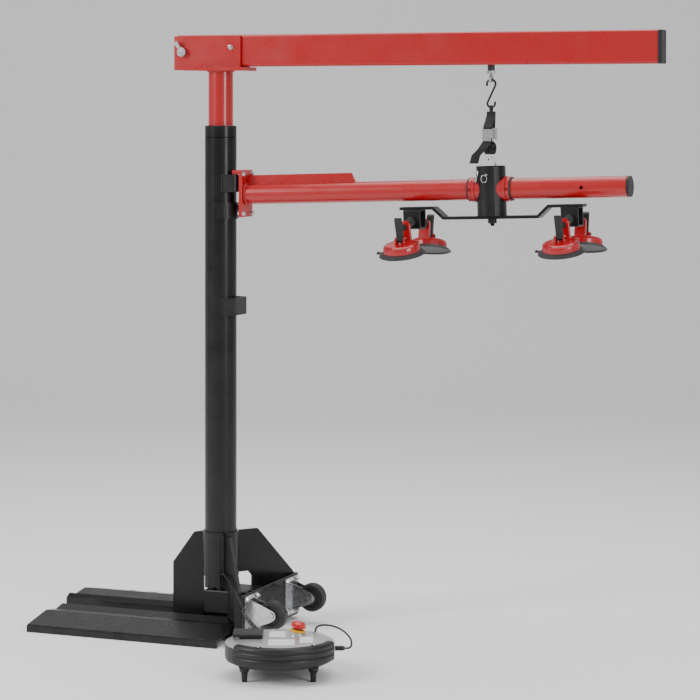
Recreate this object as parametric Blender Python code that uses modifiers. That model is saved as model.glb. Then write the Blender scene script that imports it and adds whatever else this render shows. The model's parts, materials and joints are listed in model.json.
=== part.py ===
"""Drywall lift: a telescopic mast on two flat forks, with a lifting beam on the sliding inner mast,
a removable arm with a suction frame, and a floor control unit on a short cable.

Frame: the mast axis meets the floor at the origin, +X is the direction of the beam and arm, +Z is up.
All lengths are in metres and all angles in degrees.
"""
import math

import bmesh
import bpy
from mathutils import Matrix, Vector

# ---------------------------------------------------------------- driving dimensions
GAP = 0.0003                  # clearance between pieces that touch
ROUND = 36                    # sides of a large round piece
SMALL_ROUND = 20              # sides of a small round piece

# Mast
MAST_RADIUS = 0.045
MAST_WALL = 0.004
SOCKET_BOTTOM = 0.147
MAST_TOP = 1.416
COLLAR_HEIGHT = 0.033
COLLAR_SKIRT = 0.040
INNER_RADIUS = 0.035
INNER_WALL = 0.003
INNER_BOTTOM = 0.200
SLIDE_CLEARANCE = 0.0006
ACTUATOR_RADIUS = 0.022
ACTUATOR_WALL = 0.004
ACTUATOR_TOP = 1.300
ROD_RADIUS = 0.011
ROD_BOTTOM = 0.250

# Lifting beam and its head
BEAM_HEIGHT = 0.090
BEAM_WIDTH = 0.050
BEAM_WALL = 0.0025
BEAM_BOTTOM = 1.582
BEAM_BACK = -0.125
BEAM_FRONT = 1.278
CAP_THICKNESS = 0.011
HEAD_PLATE_THICKNESS = 0.010
HEAD_PLATE_BACK = -0.050
HEAD_PLATE_HALF_WIDTH = 0.046
CHEEK_BACK = -0.131
CHEEK_FRONT = 0.075
CHEEK_THICKNESS = 0.006
CHEEK_CLEARANCE = 0.0008
PIVOT_X = -0.103
PIVOT_BOLT_RADIUS = 0.0075
PIVOT_CLEARANCE = 0.0005
CLAMP_LEVER_LENGTH = 0.034
CLAMP_LEVER_ANGLE = 120.0

# Hanging gear under the beam
HANG_X = 0.808
STEM_RADIUS = 0.0083
STEM_LENGTH = 0.016
EYE_NUT_HEIGHT = 0.007
EYE_RING_RADIUS = 0.0105
EYE_WIRE_RADIUS = 0.0035
HOOK_WIRE_RADIUS = 0.003
HOOK_UPPER_RADIUS = 0.0125
HOOK_LOWER_RADIUS = 0.0110
HOOK_CENTRES = 0.052
WEBBING_WIDTH = 0.025
WEBBING_THICKNESS = 0.0018
STRAP_END = 1.3150

# Arm
PLATE_BACK = 0.072
PLATE_THICKNESS = 0.010
PLATE_HALF_WIDTH = 0.036
PLATE_BOTTOM = 1.159
PLATE_TOP = 1.291
TAB_THICKNESS = 0.012
LIP_THICKNESS = 0.0065
LIP_BOTTOM = 1.246
SADDLE_THICKNESS = 0.005
SADDLE_BOTTOM = 1.153
SADDLE_TOP = 1.199
ADJUSTER_RADIUS = 0.007
ARM_RADIUS = 0.0285
ARM_WALL = 0.003
ARM_LENGTH = 1.109
ARM_HEIGHT = 1.2201
ARM_RISE = 1.8
ARM_HOLE_RADIUS = 0.005
ARM_HOLE_AT = 0.987
FIN_LENGTH = 0.330
FIN_HEIGHT = 0.025
FIN_THICKNESS = 0.008
ARM_CAP_THICKNESS = 0.008

# Hanger loops on the mast
HANGER_HEIGHT = 0.049
HANGER_REACH = 0.064
HANGER_HALF_WIDTH = 0.040
HANGER_THICKNESS = 0.005
HANGER_BOTTOMS = (0.883, 1.2295)

# Hub on the arm
HUB_AT = 0.7258
HUB_RADIUS = 0.040
HUB_WALL = 0.005
HUB_TOP = 0.062
HUB_BOTTOM = -0.0717
HUB_FLOOR = 0.0105
BUSH_RADIUS = 0.0322
BUSH_FLANGE_RADIUS = 0.0345
BUSH_CLEARANCE = 0.0004
COLLAR_RADIUS = 0.0335
PIN_HEIGHT = 0.0390
PIN_RADIUS = 0.005
BAIL_TOP = 0.091
BAIL_WIRE_RADIUS = 0.002

# Suction frame under the hub
BAR_WIDTH = 0.040
BAR_THICKNESS = 0.008
BAR_CENTRE_DROP = 0.076
BAR_END_DROP = 0.048
BAR_INNER_HALF = 0.134
BAR_RAMP_END = 0.165
BAR_HALF_LENGTH = 0.261
SWIVEL_BOLT_RADIUS = 0.006
BRACKET_AT = 0.225
BRACKET_SIZE = 0.048
BRACKET_WALL = 0.005
BRACKET_HEIGHT = 0.055
MOUNT_DROP = 0.082
MOUNT_LENGTH = 0.046
MOUNT_RADIUS = 0.0125
DROOP = 14.0

# Suction cups
PAD_RADIUS = 0.063
PAD_HEIGHT = 0.0095
HEAD_RADIUS = 0.050
HEAD_TOP = 0.030
LUG_FACE = 0.048
LUG_THICKNESS = 0.014
LUG_HOLE_HEIGHT = 0.066
LUG_HALF_WIDTH = 0.015
EAR_GAP = 0.020
EAR_THICKNESS = 0.005
LEVER_PIVOT_HEIGHT = 0.040
LEVER_LENGTH = 0.062
LEVER_THICKNESS = 0.010
LEVER_PIN_RADIUS = 0.0025

# Base
FORK_WIDTH = 0.225
FORK_GAP_HALF = 0.055
FORK_SHEET = 0.010
FORK_FRONT = 0.117
NEAR_FORK_BACK = -0.468
FAR_FORK_BACK = -0.525
FORK_LIP = 0.021
FORK_RIDGE = 0.042
FORK_VALLEY = 0.034
FLOOR_PLATE_THICKNESS = 0.015
FLOOR_PLATE_BACK = -0.160
CROSS_X = 0.147
CROSS_THICKNESS = 0.008
CROSS_HALF_WIDTH = 0.195
CROSS_BOTTOM = 0.010
CROSS_TOP = 0.130
CROSS_FLANGE = 0.024
SOCKET_THICKNESS = 0.0065
SOCKET_TOP = 0.271
GUSSET_THICKNESS = 0.008
GUSSET_SPREAD = 51.5
DRIVE_BACK = -0.026
DRIVE_FRONT = 0.140
DRIVE_HALF_WIDTH = 0.060
DRIVE_TOP = 0.112
DRIVE_BOTTOM = 0.046
DRIVE_FOOT_HALF_WIDTH = 0.050

# Casters
CASTER_Y = 0.138
CASTER_PLATE_HEIGHT = 0.105
CASTER_PLATE_WIDTH = 0.085
CASTER_PLATE_BOTTOM = 0.020
CASTER_SHEET = 0.003
WHEEL_RADIUS = 0.040
WHEEL_WIDTH = 0.028
AXLE_X = 0.223
AXLE_Z = 0.073
AXLE_RADIUS = 0.006
AXLE_CLEARANCE = 0.0005

# Floor control unit
UNIT_X = 0.404
UNIT_Y = -0.503
UNIT_TURN = 22.2
UNIT_RADIUS = 0.142
UNIT_BOTTOM = 0.038
UNIT_RIM = 0.086
UNIT_WALL = 0.0035
TOP_PLATE_THICKNESS = 0.004
GUARD_OUTER = 0.149
GUARD_TOP = 0.0965
GUARD_WALL = 0.0045
FOOT_X = 0.088
FOOT_Y = 0.073
FOOT_RADIUS = 0.007
PEDAL_CENTRE = (-0.088, 0.022)
PEDAL_HEIGHT = 0.1005
PEDAL_THICKNESS = 0.008
ESTOP_X = 0.044
ESTOP_Y = 0.047
ESTOP_LEAN = 10.0
ESTOP_CAP_RADIUS = 0.0195
BOOT_BASE = (-0.0530, 0.1385, 0.074)
BOOT_TIP = (-0.097, 0.183, 0.116)
BOOT_RADIUS = 0.0075
CABLE_RADIUS = 0.003
LEAD_RADIUS = 0.0025
CABLE_GLAND = (0.022, -0.0525)
GLAND_HEIGHT = 0.014

# Routes of the two cords: control cable in world axes, short lead in the unit's own axes.
CABLE_ROUTE = (
    (0.0220, -0.0525, 0.1263), (0.0225, -0.0530, 0.1400), (0.0260, -0.0580, 0.1530),
    (0.0360, -0.0700, 0.1610), (0.0520, -0.0880, 0.1630), (0.0740, -0.1140, 0.1580),
    (0.0980, -0.1450, 0.1510), (0.1220, -0.1770, 0.1430), (0.1445, -0.2075, 0.1355),
    (0.1600, -0.2280, 0.1290), (0.1750, -0.2480, 0.1240), (0.1900, -0.2700, 0.1205),
    (0.2030, -0.2930, 0.1195), (0.2135, -0.3160, 0.1205), (0.2220, -0.3390, 0.1235),
    (0.2300, -0.3560, 0.1245),
)
LEAD_ROUTE = (
    (0.0910, 0.0680, 0.0990), (0.0915, 0.0680, 0.1040), (0.0950, 0.0680, 0.1105),
    (0.1030, 0.0680, 0.1145), (0.1150, 0.0675, 0.1160), (0.1300, 0.0660, 0.1150),
    (0.1450, 0.0630, 0.1115), (0.1590, 0.0580, 0.1060), (0.1710, 0.0500, 0.0985),
    (0.1800, 0.0400, 0.0905), (0.1850, 0.0290, 0.0830), (0.1855, 0.0180, 0.0765),
    (0.1835, 0.0080, 0.0720), (0.1795, 0.0015, 0.0703), (0.1745, 0.0000, 0.0700), (0.1690, 0.0000, 0.0700),
)

# ---------------------------------------------------------------- scene and helpers
for old in list(bpy.data.objects):
    bpy.data.objects.remove(old, do_unlink=True)

scene = bpy.context.scene
parts = bpy.data.collections.new("drywall_lift")
cutters = bpy.data.collections.new("cutters")
scene.collection.children.link(parts)
scene.collection.children.link(cutters)
cutters.hide_render = True

MATERIALS = {
    "black_paint": ((0.012, 0.012, 0.013), 0.38, 0.0),
    "red_paint": ((0.42, 0.008, 0.014), 0.30, 0.0),
    "steel": ((0.55, 0.55, 0.56), 0.28, 1.0),
    "dark_steel": ((0.06, 0.06, 0.065), 0.42, 1.0),
    "black_plastic": ((0.014, 0.014, 0.015), 0.50, 0.0),
    "grey_plastic": ((0.07, 0.072, 0.075), 0.50, 0.0),
    "red_plastic": ((0.55, 0.015, 0.010), 0.35, 0.0),
    "rubber": ((0.010, 0.010, 0.011), 0.75, 0.0),
    "webbing": ((0.010, 0.010, 0.011), 0.85, 0.0),
    "silver_plate": ((0.62, 0.63, 0.64), 0.35, 0.9),
}


def make_material(name):
    colour, roughness, metallic = MATERIALS[name.split(".")[0]]
    material = bpy.data.materials.new(name)
    material.use_nodes = True
    shader = material.node_tree.nodes["Principled BSDF"]
    shader.inputs["Base Color"].default_value = (*colour, 1.0)
    shader.inputs["Roughness"].default_value = roughness
    shader.inputs["Metallic"].default_value = metallic
    return material


def place(obj, finish=None, frame=None, collection=parts):
    """Links an object, gives it its own material and hangs it on a body frame."""
    collection.objects.link(obj)
    if frame is not None:
        obj.parent = frame
    if finish is not None:
        obj.data.materials.append(make_material(f"{finish}.{obj.name}"))
    if collection is cutters:
        obj.hide_render = True
        obj.display_type = "WIRE"
    return obj


def body_frame(name, location, rotation=(0.0, 0.0, 0.0), parent=None):
    """An empty on a joint's axis, which carries the pieces of one moving body."""
    empty = bpy.data.objects.new(name, None)
    empty.location = location
    empty.rotation_euler = [math.radians(angle) for angle in rotation]
    empty.parent = parent
    parts.objects.link(empty)
    return empty


def smooth(obj, angle=35.0):
    obj.data.shade_smooth()
    obj.data.set_sharp_from_angle(angle=math.radians(angle))
    return obj


def from_bmesh(name, shape):
    mesh = bpy.data.meshes.new(name)
    shape.to_mesh(mesh)
    shape.free()
    return bpy.data.objects.new(name, mesh)


def bevel(obj, width, segments=2, angle=40.0):
    edge = obj.modifiers.new("edges", "BEVEL")
    edge.width = width
    edge.segments = segments
    edge.limit_method = "ANGLE"
    edge.angle_limit = math.radians(angle)
    return obj


def add_box(shape, low, high):
    """Adds a box between two corners to a bmesh."""
    low, high = Vector(low), Vector(high)
    size = high - low
    where = Matrix.Translation((low + high) / 2) @ Matrix.Diagonal((*size, 1.0))
    bmesh.ops.create_cube(shape, size=1.0, matrix=where)


def boxes(name, *corners):
    shape = bmesh.new()
    for low, high in corners:
        add_box(shape, low, high)
    return from_bmesh(name, shape)


def add_rod(shape, start, end, radius, end_radius=None, sides=SMALL_ROUND):
    """Adds a closed cylinder or cone between two points to a bmesh."""
    start, end = Vector(start), Vector(end)
    along = end - start
    turn = along.to_track_quat("Z", "Y").to_matrix().to_4x4()
    where = Matrix.Translation((start + end) / 2) @ turn
    far = radius if end_radius is None else end_radius
    bmesh.ops.create_cone(shape, cap_ends=True, segments=sides, radius1=radius, radius2=far,
                          depth=along.length, matrix=where)


def rods(name, *specs, sides=SMALL_ROUND):
    shape = bmesh.new()
    for spec in specs:
        add_rod(shape, *spec, sides=sides)
    return smooth(from_bmesh(name, shape))


def turned(name, profile, sides=ROUND, closed=False):
    """A profile in the XZ plane, turned about Z. It runs down its outer side, from top to bottom."""
    mesh = bpy.data.meshes.new(name)
    points = [(radius, 0.0, height) for radius, height in profile]
    edges = [(i, i + 1) for i in range(len(points) - 1)]
    if closed:
        edges.append((len(points) - 1, 0))
    mesh.from_pydata(points, edges, [])
    obj = bpy.data.objects.new(name, mesh)
    screw = obj.modifiers.new("turn", "SCREW")
    screw.steps = sides
    screw.render_steps = sides
    screw.use_merge_vertices = True
    screw.merge_threshold = 0.00001
    screw.use_smooth_shade = True
    return obj


def ring(name, outer, inner, bottom, top, sides=ROUND):
    return turned(name, ((outer, top), (outer, bottom), (inner, bottom), (inner, top)), sides, closed=True)


def outline(name, loops, thickness):
    """Flat closed loops in the XY plane, extruded along Z by half the thickness each way."""
    curve = bpy.data.curves.new(name, "CURVE")
    curve.dimensions = "2D"
    curve.fill_mode = "BOTH"
    curve.extrude = thickness / 2
    for points in loops:
        spline = curve.splines.new("POLY")
        spline.points.add(len(points) - 1)
        for knot, (x, y) in zip(spline.points, points):
            knot.co = (x, y, 0.0, 1.0)
        spline.use_cyclic_u = True
    return bpy.data.objects.new(name, curve)


def arc(centre, radius, start, end, steps):
    """Points on an arc, from the start angle to the end angle in degrees."""
    angles = [math.radians(start + (end - start) * i / steps) for i in range(steps + 1)]
    return [(centre[0] + radius * math.cos(a), centre[1] + radius * math.sin(a)) for a in angles]


def standing(obj, y=0.0):
    """Turns an outline drawn in X and Z so that it stands in the XZ plane at a given Y."""
    obj.rotation_euler = (math.radians(90.0), 0.0, 0.0)
    obj.location = (0.0, y, 0.0)
    return obj


def as_mesh(obj, name=None):
    """Replaces an object by a mesh object with its modifiers applied, its caps welded and its place kept."""
    bpy.context.view_layer.update()
    graph = bpy.context.evaluated_depsgraph_get()
    mesh = bpy.data.meshes.new_from_object(obj.evaluated_get(graph))
    shape = bmesh.new()
    shape.from_mesh(mesh)
    bmesh.ops.remove_doubles(shape, verts=shape.verts, dist=0.00001)
    shape.to_mesh(mesh)
    shape.free()
    where = obj.matrix_world.copy()
    label = name or obj.name
    bpy.data.objects.remove(obj, do_unlink=True)
    fresh = bpy.data.objects.new(label, mesh)
    fresh.name = label
    fresh.matrix_world = where
    return fresh


def mesh_of(obj, name=None):
    """Links a loose object for a moment, so that it can be evaluated, and gives its mesh object."""
    scene.collection.objects.link(obj)
    return as_mesh(obj, name)


def apply_place(obj):
    """Moves an unparented object's place into its mesh."""
    obj.data.transform(obj.matrix_world)
    obj.matrix_world = Matrix.Identity(4)
    return obj


def boolean(obj, other, operation="DIFFERENCE"):
    """Cuts or joins a mesh with a helper, which stays in the cutters collection."""
    if other.name not in cutters.objects:
        place(other, collection=cutters)
    change = obj.modifiers.new(operation.lower(), "BOOLEAN")
    change.operation = operation
    change.solver = "EXACT"
    change.object = other
    return obj


def tube_along(name, points, radius, rounds=2, cyclic=False):
    """A round wire or cord on a POLY spline, with filled caps."""
    curve = bpy.data.curves.new(name, "CURVE")
    curve.dimensions = "3D"
    curve.bevel_depth = radius
    curve.bevel_resolution = rounds
    curve.use_fill_caps = not cyclic
    spline = curve.splines.new("POLY")
    spline.points.add(len(points) - 1)
    for knot, point in zip(spline.points, points):
        knot.co = (*point, 1.0)
    spline.use_cyclic_u = cyclic
    return bpy.data.objects.new(name, curve)


def smooth_route(points, spacing):
    """Points every so often along a smooth curve through a route's own points."""
    knots = [Vector(point) for point in points]
    ends = [2 * knots[0] - knots[1]] + knots + [2 * knots[-1] - knots[-2]]
    fine = []
    for i in range(1, len(ends) - 2):
        before, start, end, after = ends[i - 1:i + 3]
        for step in range(20):
            t = step / 20
            fine.append(0.5 * (2 * start + (end - before) * t
                               + (2 * before - 5 * start + 4 * end - after) * t ** 2
                               + (3 * start - before - 3 * end + after) * t ** 3))
    fine.append(knots[-1])
    length = sum((b - a).length for a, b in zip(fine, fine[1:]))
    count = max(2, round(length / spacing))
    wanted = [length * i / count for i in range(count)]
    route, travelled = [], 0.0
    for a, b in zip(fine, fine[1:]):
        step = (b - a).length
        while wanted and wanted[0] <= travelled + step:
            route.append(a.lerp(b, (wanted.pop(0) - travelled) / step))
        travelled += step
    return route + [knots[-1]]


def add_lathe(shape, profile, start, end, first=0.0, last=360.0, sides=SMALL_ROUND):
    """Adds a solid turned about the line from start to end. Its profile holds (radius, distance along the line)."""
    start, end = Vector(start), Vector(end)
    turn = (end - start).to_track_quat("Z", "Y").to_matrix().to_4x4()
    where = Matrix.Translation(start) @ turn
    whole = last - first >= 360.0
    count = sides if whole else sides + 1
    rows = []
    for i in range(count):
        angle = math.radians(first + (last - first) * i / sides)
        row = []
        for j, (radius, along) in enumerate(profile):
            if radius == 0.0 and rows:
                row.append(rows[0][j])
                continue
            point = Vector((radius * math.cos(angle), radius * math.sin(angle), along))
            row.append(shape.verts.new(where @ point))
        rows.append(row)
    pairs = [(i, (i + 1) % count) for i in range(sides)]
    around = len(profile)
    for i, k in pairs:
        for j in range(around):
            corners = [rows[i][j], rows[k][j], rows[k][(j + 1) % around], rows[i][(j + 1) % around]]
            unique = list(dict.fromkeys(corners))
            if len(unique) > 2:
                shape.faces.new(unique)
    if not whole:
        shape.faces.new(rows[0])
        shape.faces.new(rows[-1])


def lathe(name, *specs, sides=SMALL_ROUND):
    shape = bmesh.new()
    for spec in specs:
        add_lathe(shape, *spec, sides=sides)
    bmesh.ops.recalc_face_normals(shape, faces=shape.faces)
    return smooth(from_bmesh(name, shape))


def offset_line(points, distance):
    """A polyline moved sideways to the right of its direction, with mitred corners."""
    moved = []
    for i, (x, y) in enumerate(points):
        before = points[max(i - 1, 0)]
        after = points[min(i + 1, len(points) - 1)]
        sides = []
        if i > 0:
            sides.append(Vector((x - before[0], y - before[1])).normalized())
        if i < len(points) - 1:
            sides.append(Vector((after[0] - x, after[1] - y)).normalized())
        normals = [Vector((side.y, -side.x)) for side in sides]
        middle = sum(normals, Vector((0.0, 0.0))).normalized()
        reach = distance / max(0.3, middle.dot(normals[0]))
        moved.append((x + middle.x * reach, y + middle.y * reach))
    return moved


def ribbon(points, thickness):
    """The closed outline of a band of one thickness about a polyline."""
    return offset_line(points, thickness / 2) + offset_line(points, -thickness / 2)[::-1]


def circle(centre, radius, sides=SMALL_ROUND):
    return arc(centre, radius, 0.0, 360.0 * (sides - 1) / sides, sides - 1)


def merged(name, *objects):
    """One mesh object with the solids of several."""
    shape = bmesh.new()
    for obj in objects:
        solid = apply_place(mesh_of(obj))
        shape.from_mesh(solid.data)
        bpy.data.objects.remove(solid, do_unlink=True)
    bmesh.ops.recalc_face_normals(shape, faces=shape.faces)
    return smooth(from_bmesh(name, shape))


def joined(name, base, *others):
    """One closed solid from overlapping ones."""
    solid = mesh_of(base, name)
    scene.collection.objects.link(solid)
    for other in others:
        boolean(solid, apply_place(mesh_of(other, f"{name}_add")), "UNION")
    whole = as_mesh(solid, name)
    return smooth(apply_place(whole))


# ---------------------------------------------------------------- base
def fork(name, near_side, back):
    """A folded sheet fork, open underneath: a low lip outside, a ridge, a valley and an inner ridge."""
    line = [(0.0, 0.0), (0.0, FORK_LIP - 0.005), (0.005, FORK_LIP),
            (FORK_WIDTH * 0.50, FORK_RIDGE), (FORK_WIDTH * 0.75, FORK_VALLEY),
            (FORK_WIDTH * 0.92, FORK_RIDGE + 0.001), (FORK_WIDTH, FORK_VALLEY - 0.002), (FORK_WIDTH, 0.0)]
    section = line + offset_line(line, FORK_SHEET)[::-1]
    section = [(v, max(z, 0.0)) for v, z in section]
    obj = outline(name, [section], FORK_FRONT - back)
    turn = 90.0 if near_side else -90.0
    obj.rotation_euler = (math.radians(90.0), 0.0, math.radians(turn))
    edge = FORK_GAP_HALF + FORK_WIDTH
    obj.location = ((FORK_FRONT + back) / 2, -edge if near_side else edge, 0.0)
    return place(bevel(apply_place(mesh_of(obj)), 0.0015, 1), "black_paint")


fork_near = fork("fork_near", True, NEAR_FORK_BACK)
fork_far = fork("fork_far", False, FAR_FORK_BACK)

floor_edge = FORK_GAP_HALF - 0.0005
floor_plate = boxes("floor_plate", ((FLOOR_PLATE_BACK, -floor_edge, 0.0),
                                    (CROSS_X - GAP, floor_edge, FLOOR_PLATE_THICKNESS)))
place(floor_plate, "black_paint")

back_face = CROSS_X - CROSS_FLANGE + CROSS_THICKNESS
half = CROSS_HALF_WIDTH
inner = half - CROSS_THICKNESS
front_face = CROSS_X + CROSS_THICKNESS
channel = [(front_face, -half), (front_face, half), (back_face, half), (back_face, inner),
           (CROSS_X, inner), (CROSS_X, -inner), (back_face, -inner), (back_face, -half)]
cross_plate = outline("cross_plate", [channel], CROSS_TOP - CROSS_BOTTOM)
cross_plate.location.z = (CROSS_TOP + CROSS_BOTTOM) / 2
cross_plate = place(bevel(apply_place(mesh_of(cross_plate)), 0.003, 2), "black_paint")

SOCKET_RADIUS = MAST_RADIUS + GAP + SOCKET_THICKNESS
socket = ring("mast_socket", SOCKET_RADIUS, MAST_RADIUS + GAP, SOCKET_BOTTOM, SOCKET_TOP)

gusset_start = SOCKET_RADIUS - 0.003
outside = SOCKET_RADIUS + 0.001
spread = math.radians(GUSSET_SPREAD)
gusset_end = (CROSS_X - 2 * GAP - GUSSET_THICKNESS / 2 * math.sin(spread)) / math.cos(spread)
gusset_foot = FORK_RIDGE + 0.0015
side_shape = [(gusset_start, SOCKET_TOP - 0.003), (0.116, SOCKET_TOP - 0.003), (gusset_end, 0.136),
              (gusset_end, gusset_foot), (0.098, gusset_foot), (0.098, 0.135), (0.086, SOCKET_BOTTOM + 0.002),
              (gusset_start, SOCKET_BOTTOM + 0.002)]
rear_foot = FLOOR_PLATE_THICKNESS + GAP
rear_shape = [(gusset_start, SOCKET_TOP - 0.003), (0.082, SOCKET_TOP - 0.009), (0.148, 0.173),
              (0.148, rear_foot), (outside, rear_foot), (outside, SOCKET_BOTTOM + 0.002),
              (gusset_start, SOCKET_BOTTOM + 0.002)]
gussets = []
for shape_line, heading in ((side_shape, -GUSSET_SPREAD), (side_shape, GUSSET_SPREAD), (rear_shape, 180.0)):
    plate = outline("gusset", [shape_line], GUSSET_THICKNESS)
    plate.rotation_euler = (math.radians(90.0), 0.0, math.radians(heading))
    gussets.append(plate)
place(joined("mast_socket", socket, *gussets), "black_paint")

DRIVE_SHELF = DRIVE_BOTTOM + 0.010
drive = boxes("drive_housing", ((DRIVE_BACK, -DRIVE_HALF_WIDTH, DRIVE_BOTTOM),
                                (DRIVE_FRONT, DRIVE_HALF_WIDTH, DRIVE_TOP)))
drive_foot = boxes("drive_foot", ((DRIVE_BACK + 0.012, -DRIVE_FOOT_HALF_WIDTH, FLOOR_PLATE_THICKNESS + GAP),
                                  (DRIVE_FRONT - 0.012, DRIVE_FOOT_HALF_WIDTH, DRIVE_SHELF)))
gland_x, gland_y = CABLE_GLAND
gland_line = [(0.0, 0.0), (0.0055, 0.0), (0.0055, 0.012), (0.0045, GLAND_HEIGHT + 0.004), (0.0, GLAND_HEIGHT + 0.004)]
gland = lathe("gland", (gland_line, (gland_x, gland_y, DRIVE_TOP - 0.004), (gland_x, gland_y, 1.0)), sides=18)
drive = mesh_of(bevel(joined("drive_housing", drive, drive_foot), 0.004, 2))
place(joined("drive_housing", drive, gland), "black_plastic")

# ---------------------------------------------------------------- casters
cheek_inner = WHEEL_WIDTH / 2 + 0.0015
cheek_outer = cheek_inner + CASTER_SHEET
plate_face = CROSS_X + CROSS_THICKNESS + GAP
plate_top = CASTER_PLATE_BOTTOM + CASTER_PLATE_HEIGHT
cheek_line = [(plate_face + 0.001, CASTER_PLATE_BOTTOM + 0.012), (AXLE_X - 0.006, AXLE_Z - 0.020)]
cheek_line += arc((AXLE_X, AXLE_Z), 0.015, -60.0, 60.0, 8)
cheek_line += [(AXLE_X - 0.012, AXLE_Z + 0.022), (plate_face + 0.001, plate_top - 0.010)]
cheeks = []
for side in (cheek_inner + CASTER_SHEET / 2, -cheek_inner - CASTER_SHEET / 2):
    cheek = outline("cheek", [cheek_line], CASTER_SHEET)
    cheeks.append(standing(cheek, CASTER_Y + side))
caster_plate = boxes("plate", ((plate_face, CASTER_Y - CASTER_PLATE_WIDTH / 2, CASTER_PLATE_BOTTOM),
                               (plate_face + CASTER_SHEET, CASTER_Y + CASTER_PLATE_WIDTH / 2, plate_top)))

nut_start = CASTER_Y - cheek_outer + 0.001
nut_end = CASTER_Y + cheek_outer - 0.001
axle_profile = [(0.0, 0.0), (0.0095, 0.0), (0.0095, 0.005), (AXLE_RADIUS, 0.005),
                (AXLE_RADIUS, 0.005 + nut_end - nut_start), (0.0095, 0.005 + nut_end - nut_start),
                (0.0095, 0.010 + nut_end - nut_start), (0.0, 0.010 + nut_end - nut_start)]
axle = lathe("axle", (axle_profile, (AXLE_X, nut_start - 0.005, AXLE_Z), (AXLE_X, nut_end + 0.005, AXLE_Z)))
caster_far = joined("caster_far", caster_plate, *cheeks, axle)
caster_near = bpy.data.objects.new("caster_near", caster_far.data.copy())
caster_near.data.transform(Matrix.Diagonal((1.0, -1.0, 1.0, 1.0)))
caster_near.data.flip_normals()
place(caster_far, "steel")
place(caster_near, "steel")

wheel_bore = AXLE_RADIUS + AXLE_CLEARANCE
half_width = WHEEL_WIDTH / 2
wheel_line = [(WHEEL_RADIUS - 0.004, half_width), (WHEEL_RADIUS, half_width - 0.005),
              (WHEEL_RADIUS, -half_width + 0.005), (WHEEL_RADIUS - 0.004, -half_width),
              (0.028, -half_width), (0.026, -half_width + 0.004), (0.016, -half_width + 0.004),
              (0.014, -half_width), (wheel_bore, -half_width), (wheel_bore, half_width), (0.014, half_width),
              (0.016, half_width - 0.004), (0.026, half_width - 0.004), (0.028, half_width)]
for name, side in (("wheel_near", -CASTER_Y), ("wheel_far", CASTER_Y)):
    wheel_frame = body_frame(name + "_axle", (AXLE_X, side, AXLE_Z), (90.0, 0.0, 0.0))
    place(smooth(mesh_of(turned(name, wheel_line, 28, closed=True))), "rubber", wheel_frame)

# ---------------------------------------------------------------- mast
MAST_FOOT = DRIVE_TOP + GAP
bore = INNER_RADIUS + SLIDE_CLEARANCE
neck = MAST_TOP - COLLAR_HEIGHT
mast_inner = MAST_RADIUS - MAST_WALL
mast_line = [(MAST_RADIUS - 0.0015, MAST_TOP), (MAST_RADIUS, MAST_TOP - 0.0015), (MAST_RADIUS, neck + 0.001),
             (MAST_RADIUS - 0.0012, neck), (MAST_RADIUS, neck - 0.001), (MAST_RADIUS, MAST_FOOT),
             (mast_inner, MAST_FOOT), (mast_inner, neck - COLLAR_SKIRT), (bore, neck - COLLAR_SKIRT),
             (bore, MAST_TOP)]
place(turned("mast_tube", mast_line, closed=True), "black_paint")

mast_cut = rods("mast_clearance", ((0.0, 0.0, 0.80), (0.0, 0.0, 1.35), MAST_RADIUS + GAP), sides=ROUND)
outer_y, inner_y = HANGER_HALF_WIDTH, HANGER_HALF_WIDTH - HANGER_THICKNESS
outer_x, inner_x = HANGER_REACH, HANGER_REACH - HANGER_THICKNESS
band = [(0.012, -outer_y)] + arc((outer_x - 0.006, -outer_y + 0.006), 0.006, -90.0, 0.0, 3)
band += arc((outer_x - 0.006, outer_y - 0.006), 0.006, 0.0, 90.0, 3)
band += [(0.012, outer_y), (0.012, inner_y), (inner_x, inner_y), (inner_x, -inner_y), (0.012, -inner_y)]
for name, bottom in zip(("hanger_lower", "hanger_upper"), HANGER_BOTTOMS):
    loop = outline(name, [band], HANGER_HEIGHT)
    loop.location.z = bottom + HANGER_HEIGHT / 2
    place(boolean(apply_place(mesh_of(loop)), mast_cut), "black_paint")

actuator = ring("actuator_body", ACTUATOR_RADIUS, ACTUATOR_RADIUS - ACTUATOR_WALL, MAST_FOOT, ACTUATOR_TOP, 24)
place(actuator, "dark_steel")

# ---------------------------------------------------------------- sliding mast and beam head
HEAD_PLATE_TOP = BEAM_BOTTOM - 0.0015
HEAD_PLATE_BOTTOM = HEAD_PLATE_TOP - HEAD_PLATE_THICKNESS
INNER_TOP = HEAD_PLATE_BOTTOM - GAP
lift = body_frame("lift_axis", (0.0, 0.0, 0.0))
inner_tube = ring("inner_tube", INNER_RADIUS, INNER_RADIUS - INNER_WALL, INNER_BOTTOM, INNER_TOP)
place(inner_tube, "red_paint", lift)
rod = rods("actuator_rod", ((0.0, 0.0, ROD_BOTTOM), (0.0, 0.0, INNER_TOP), ROD_RADIUS))
place(rod, "steel", lift)

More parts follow.
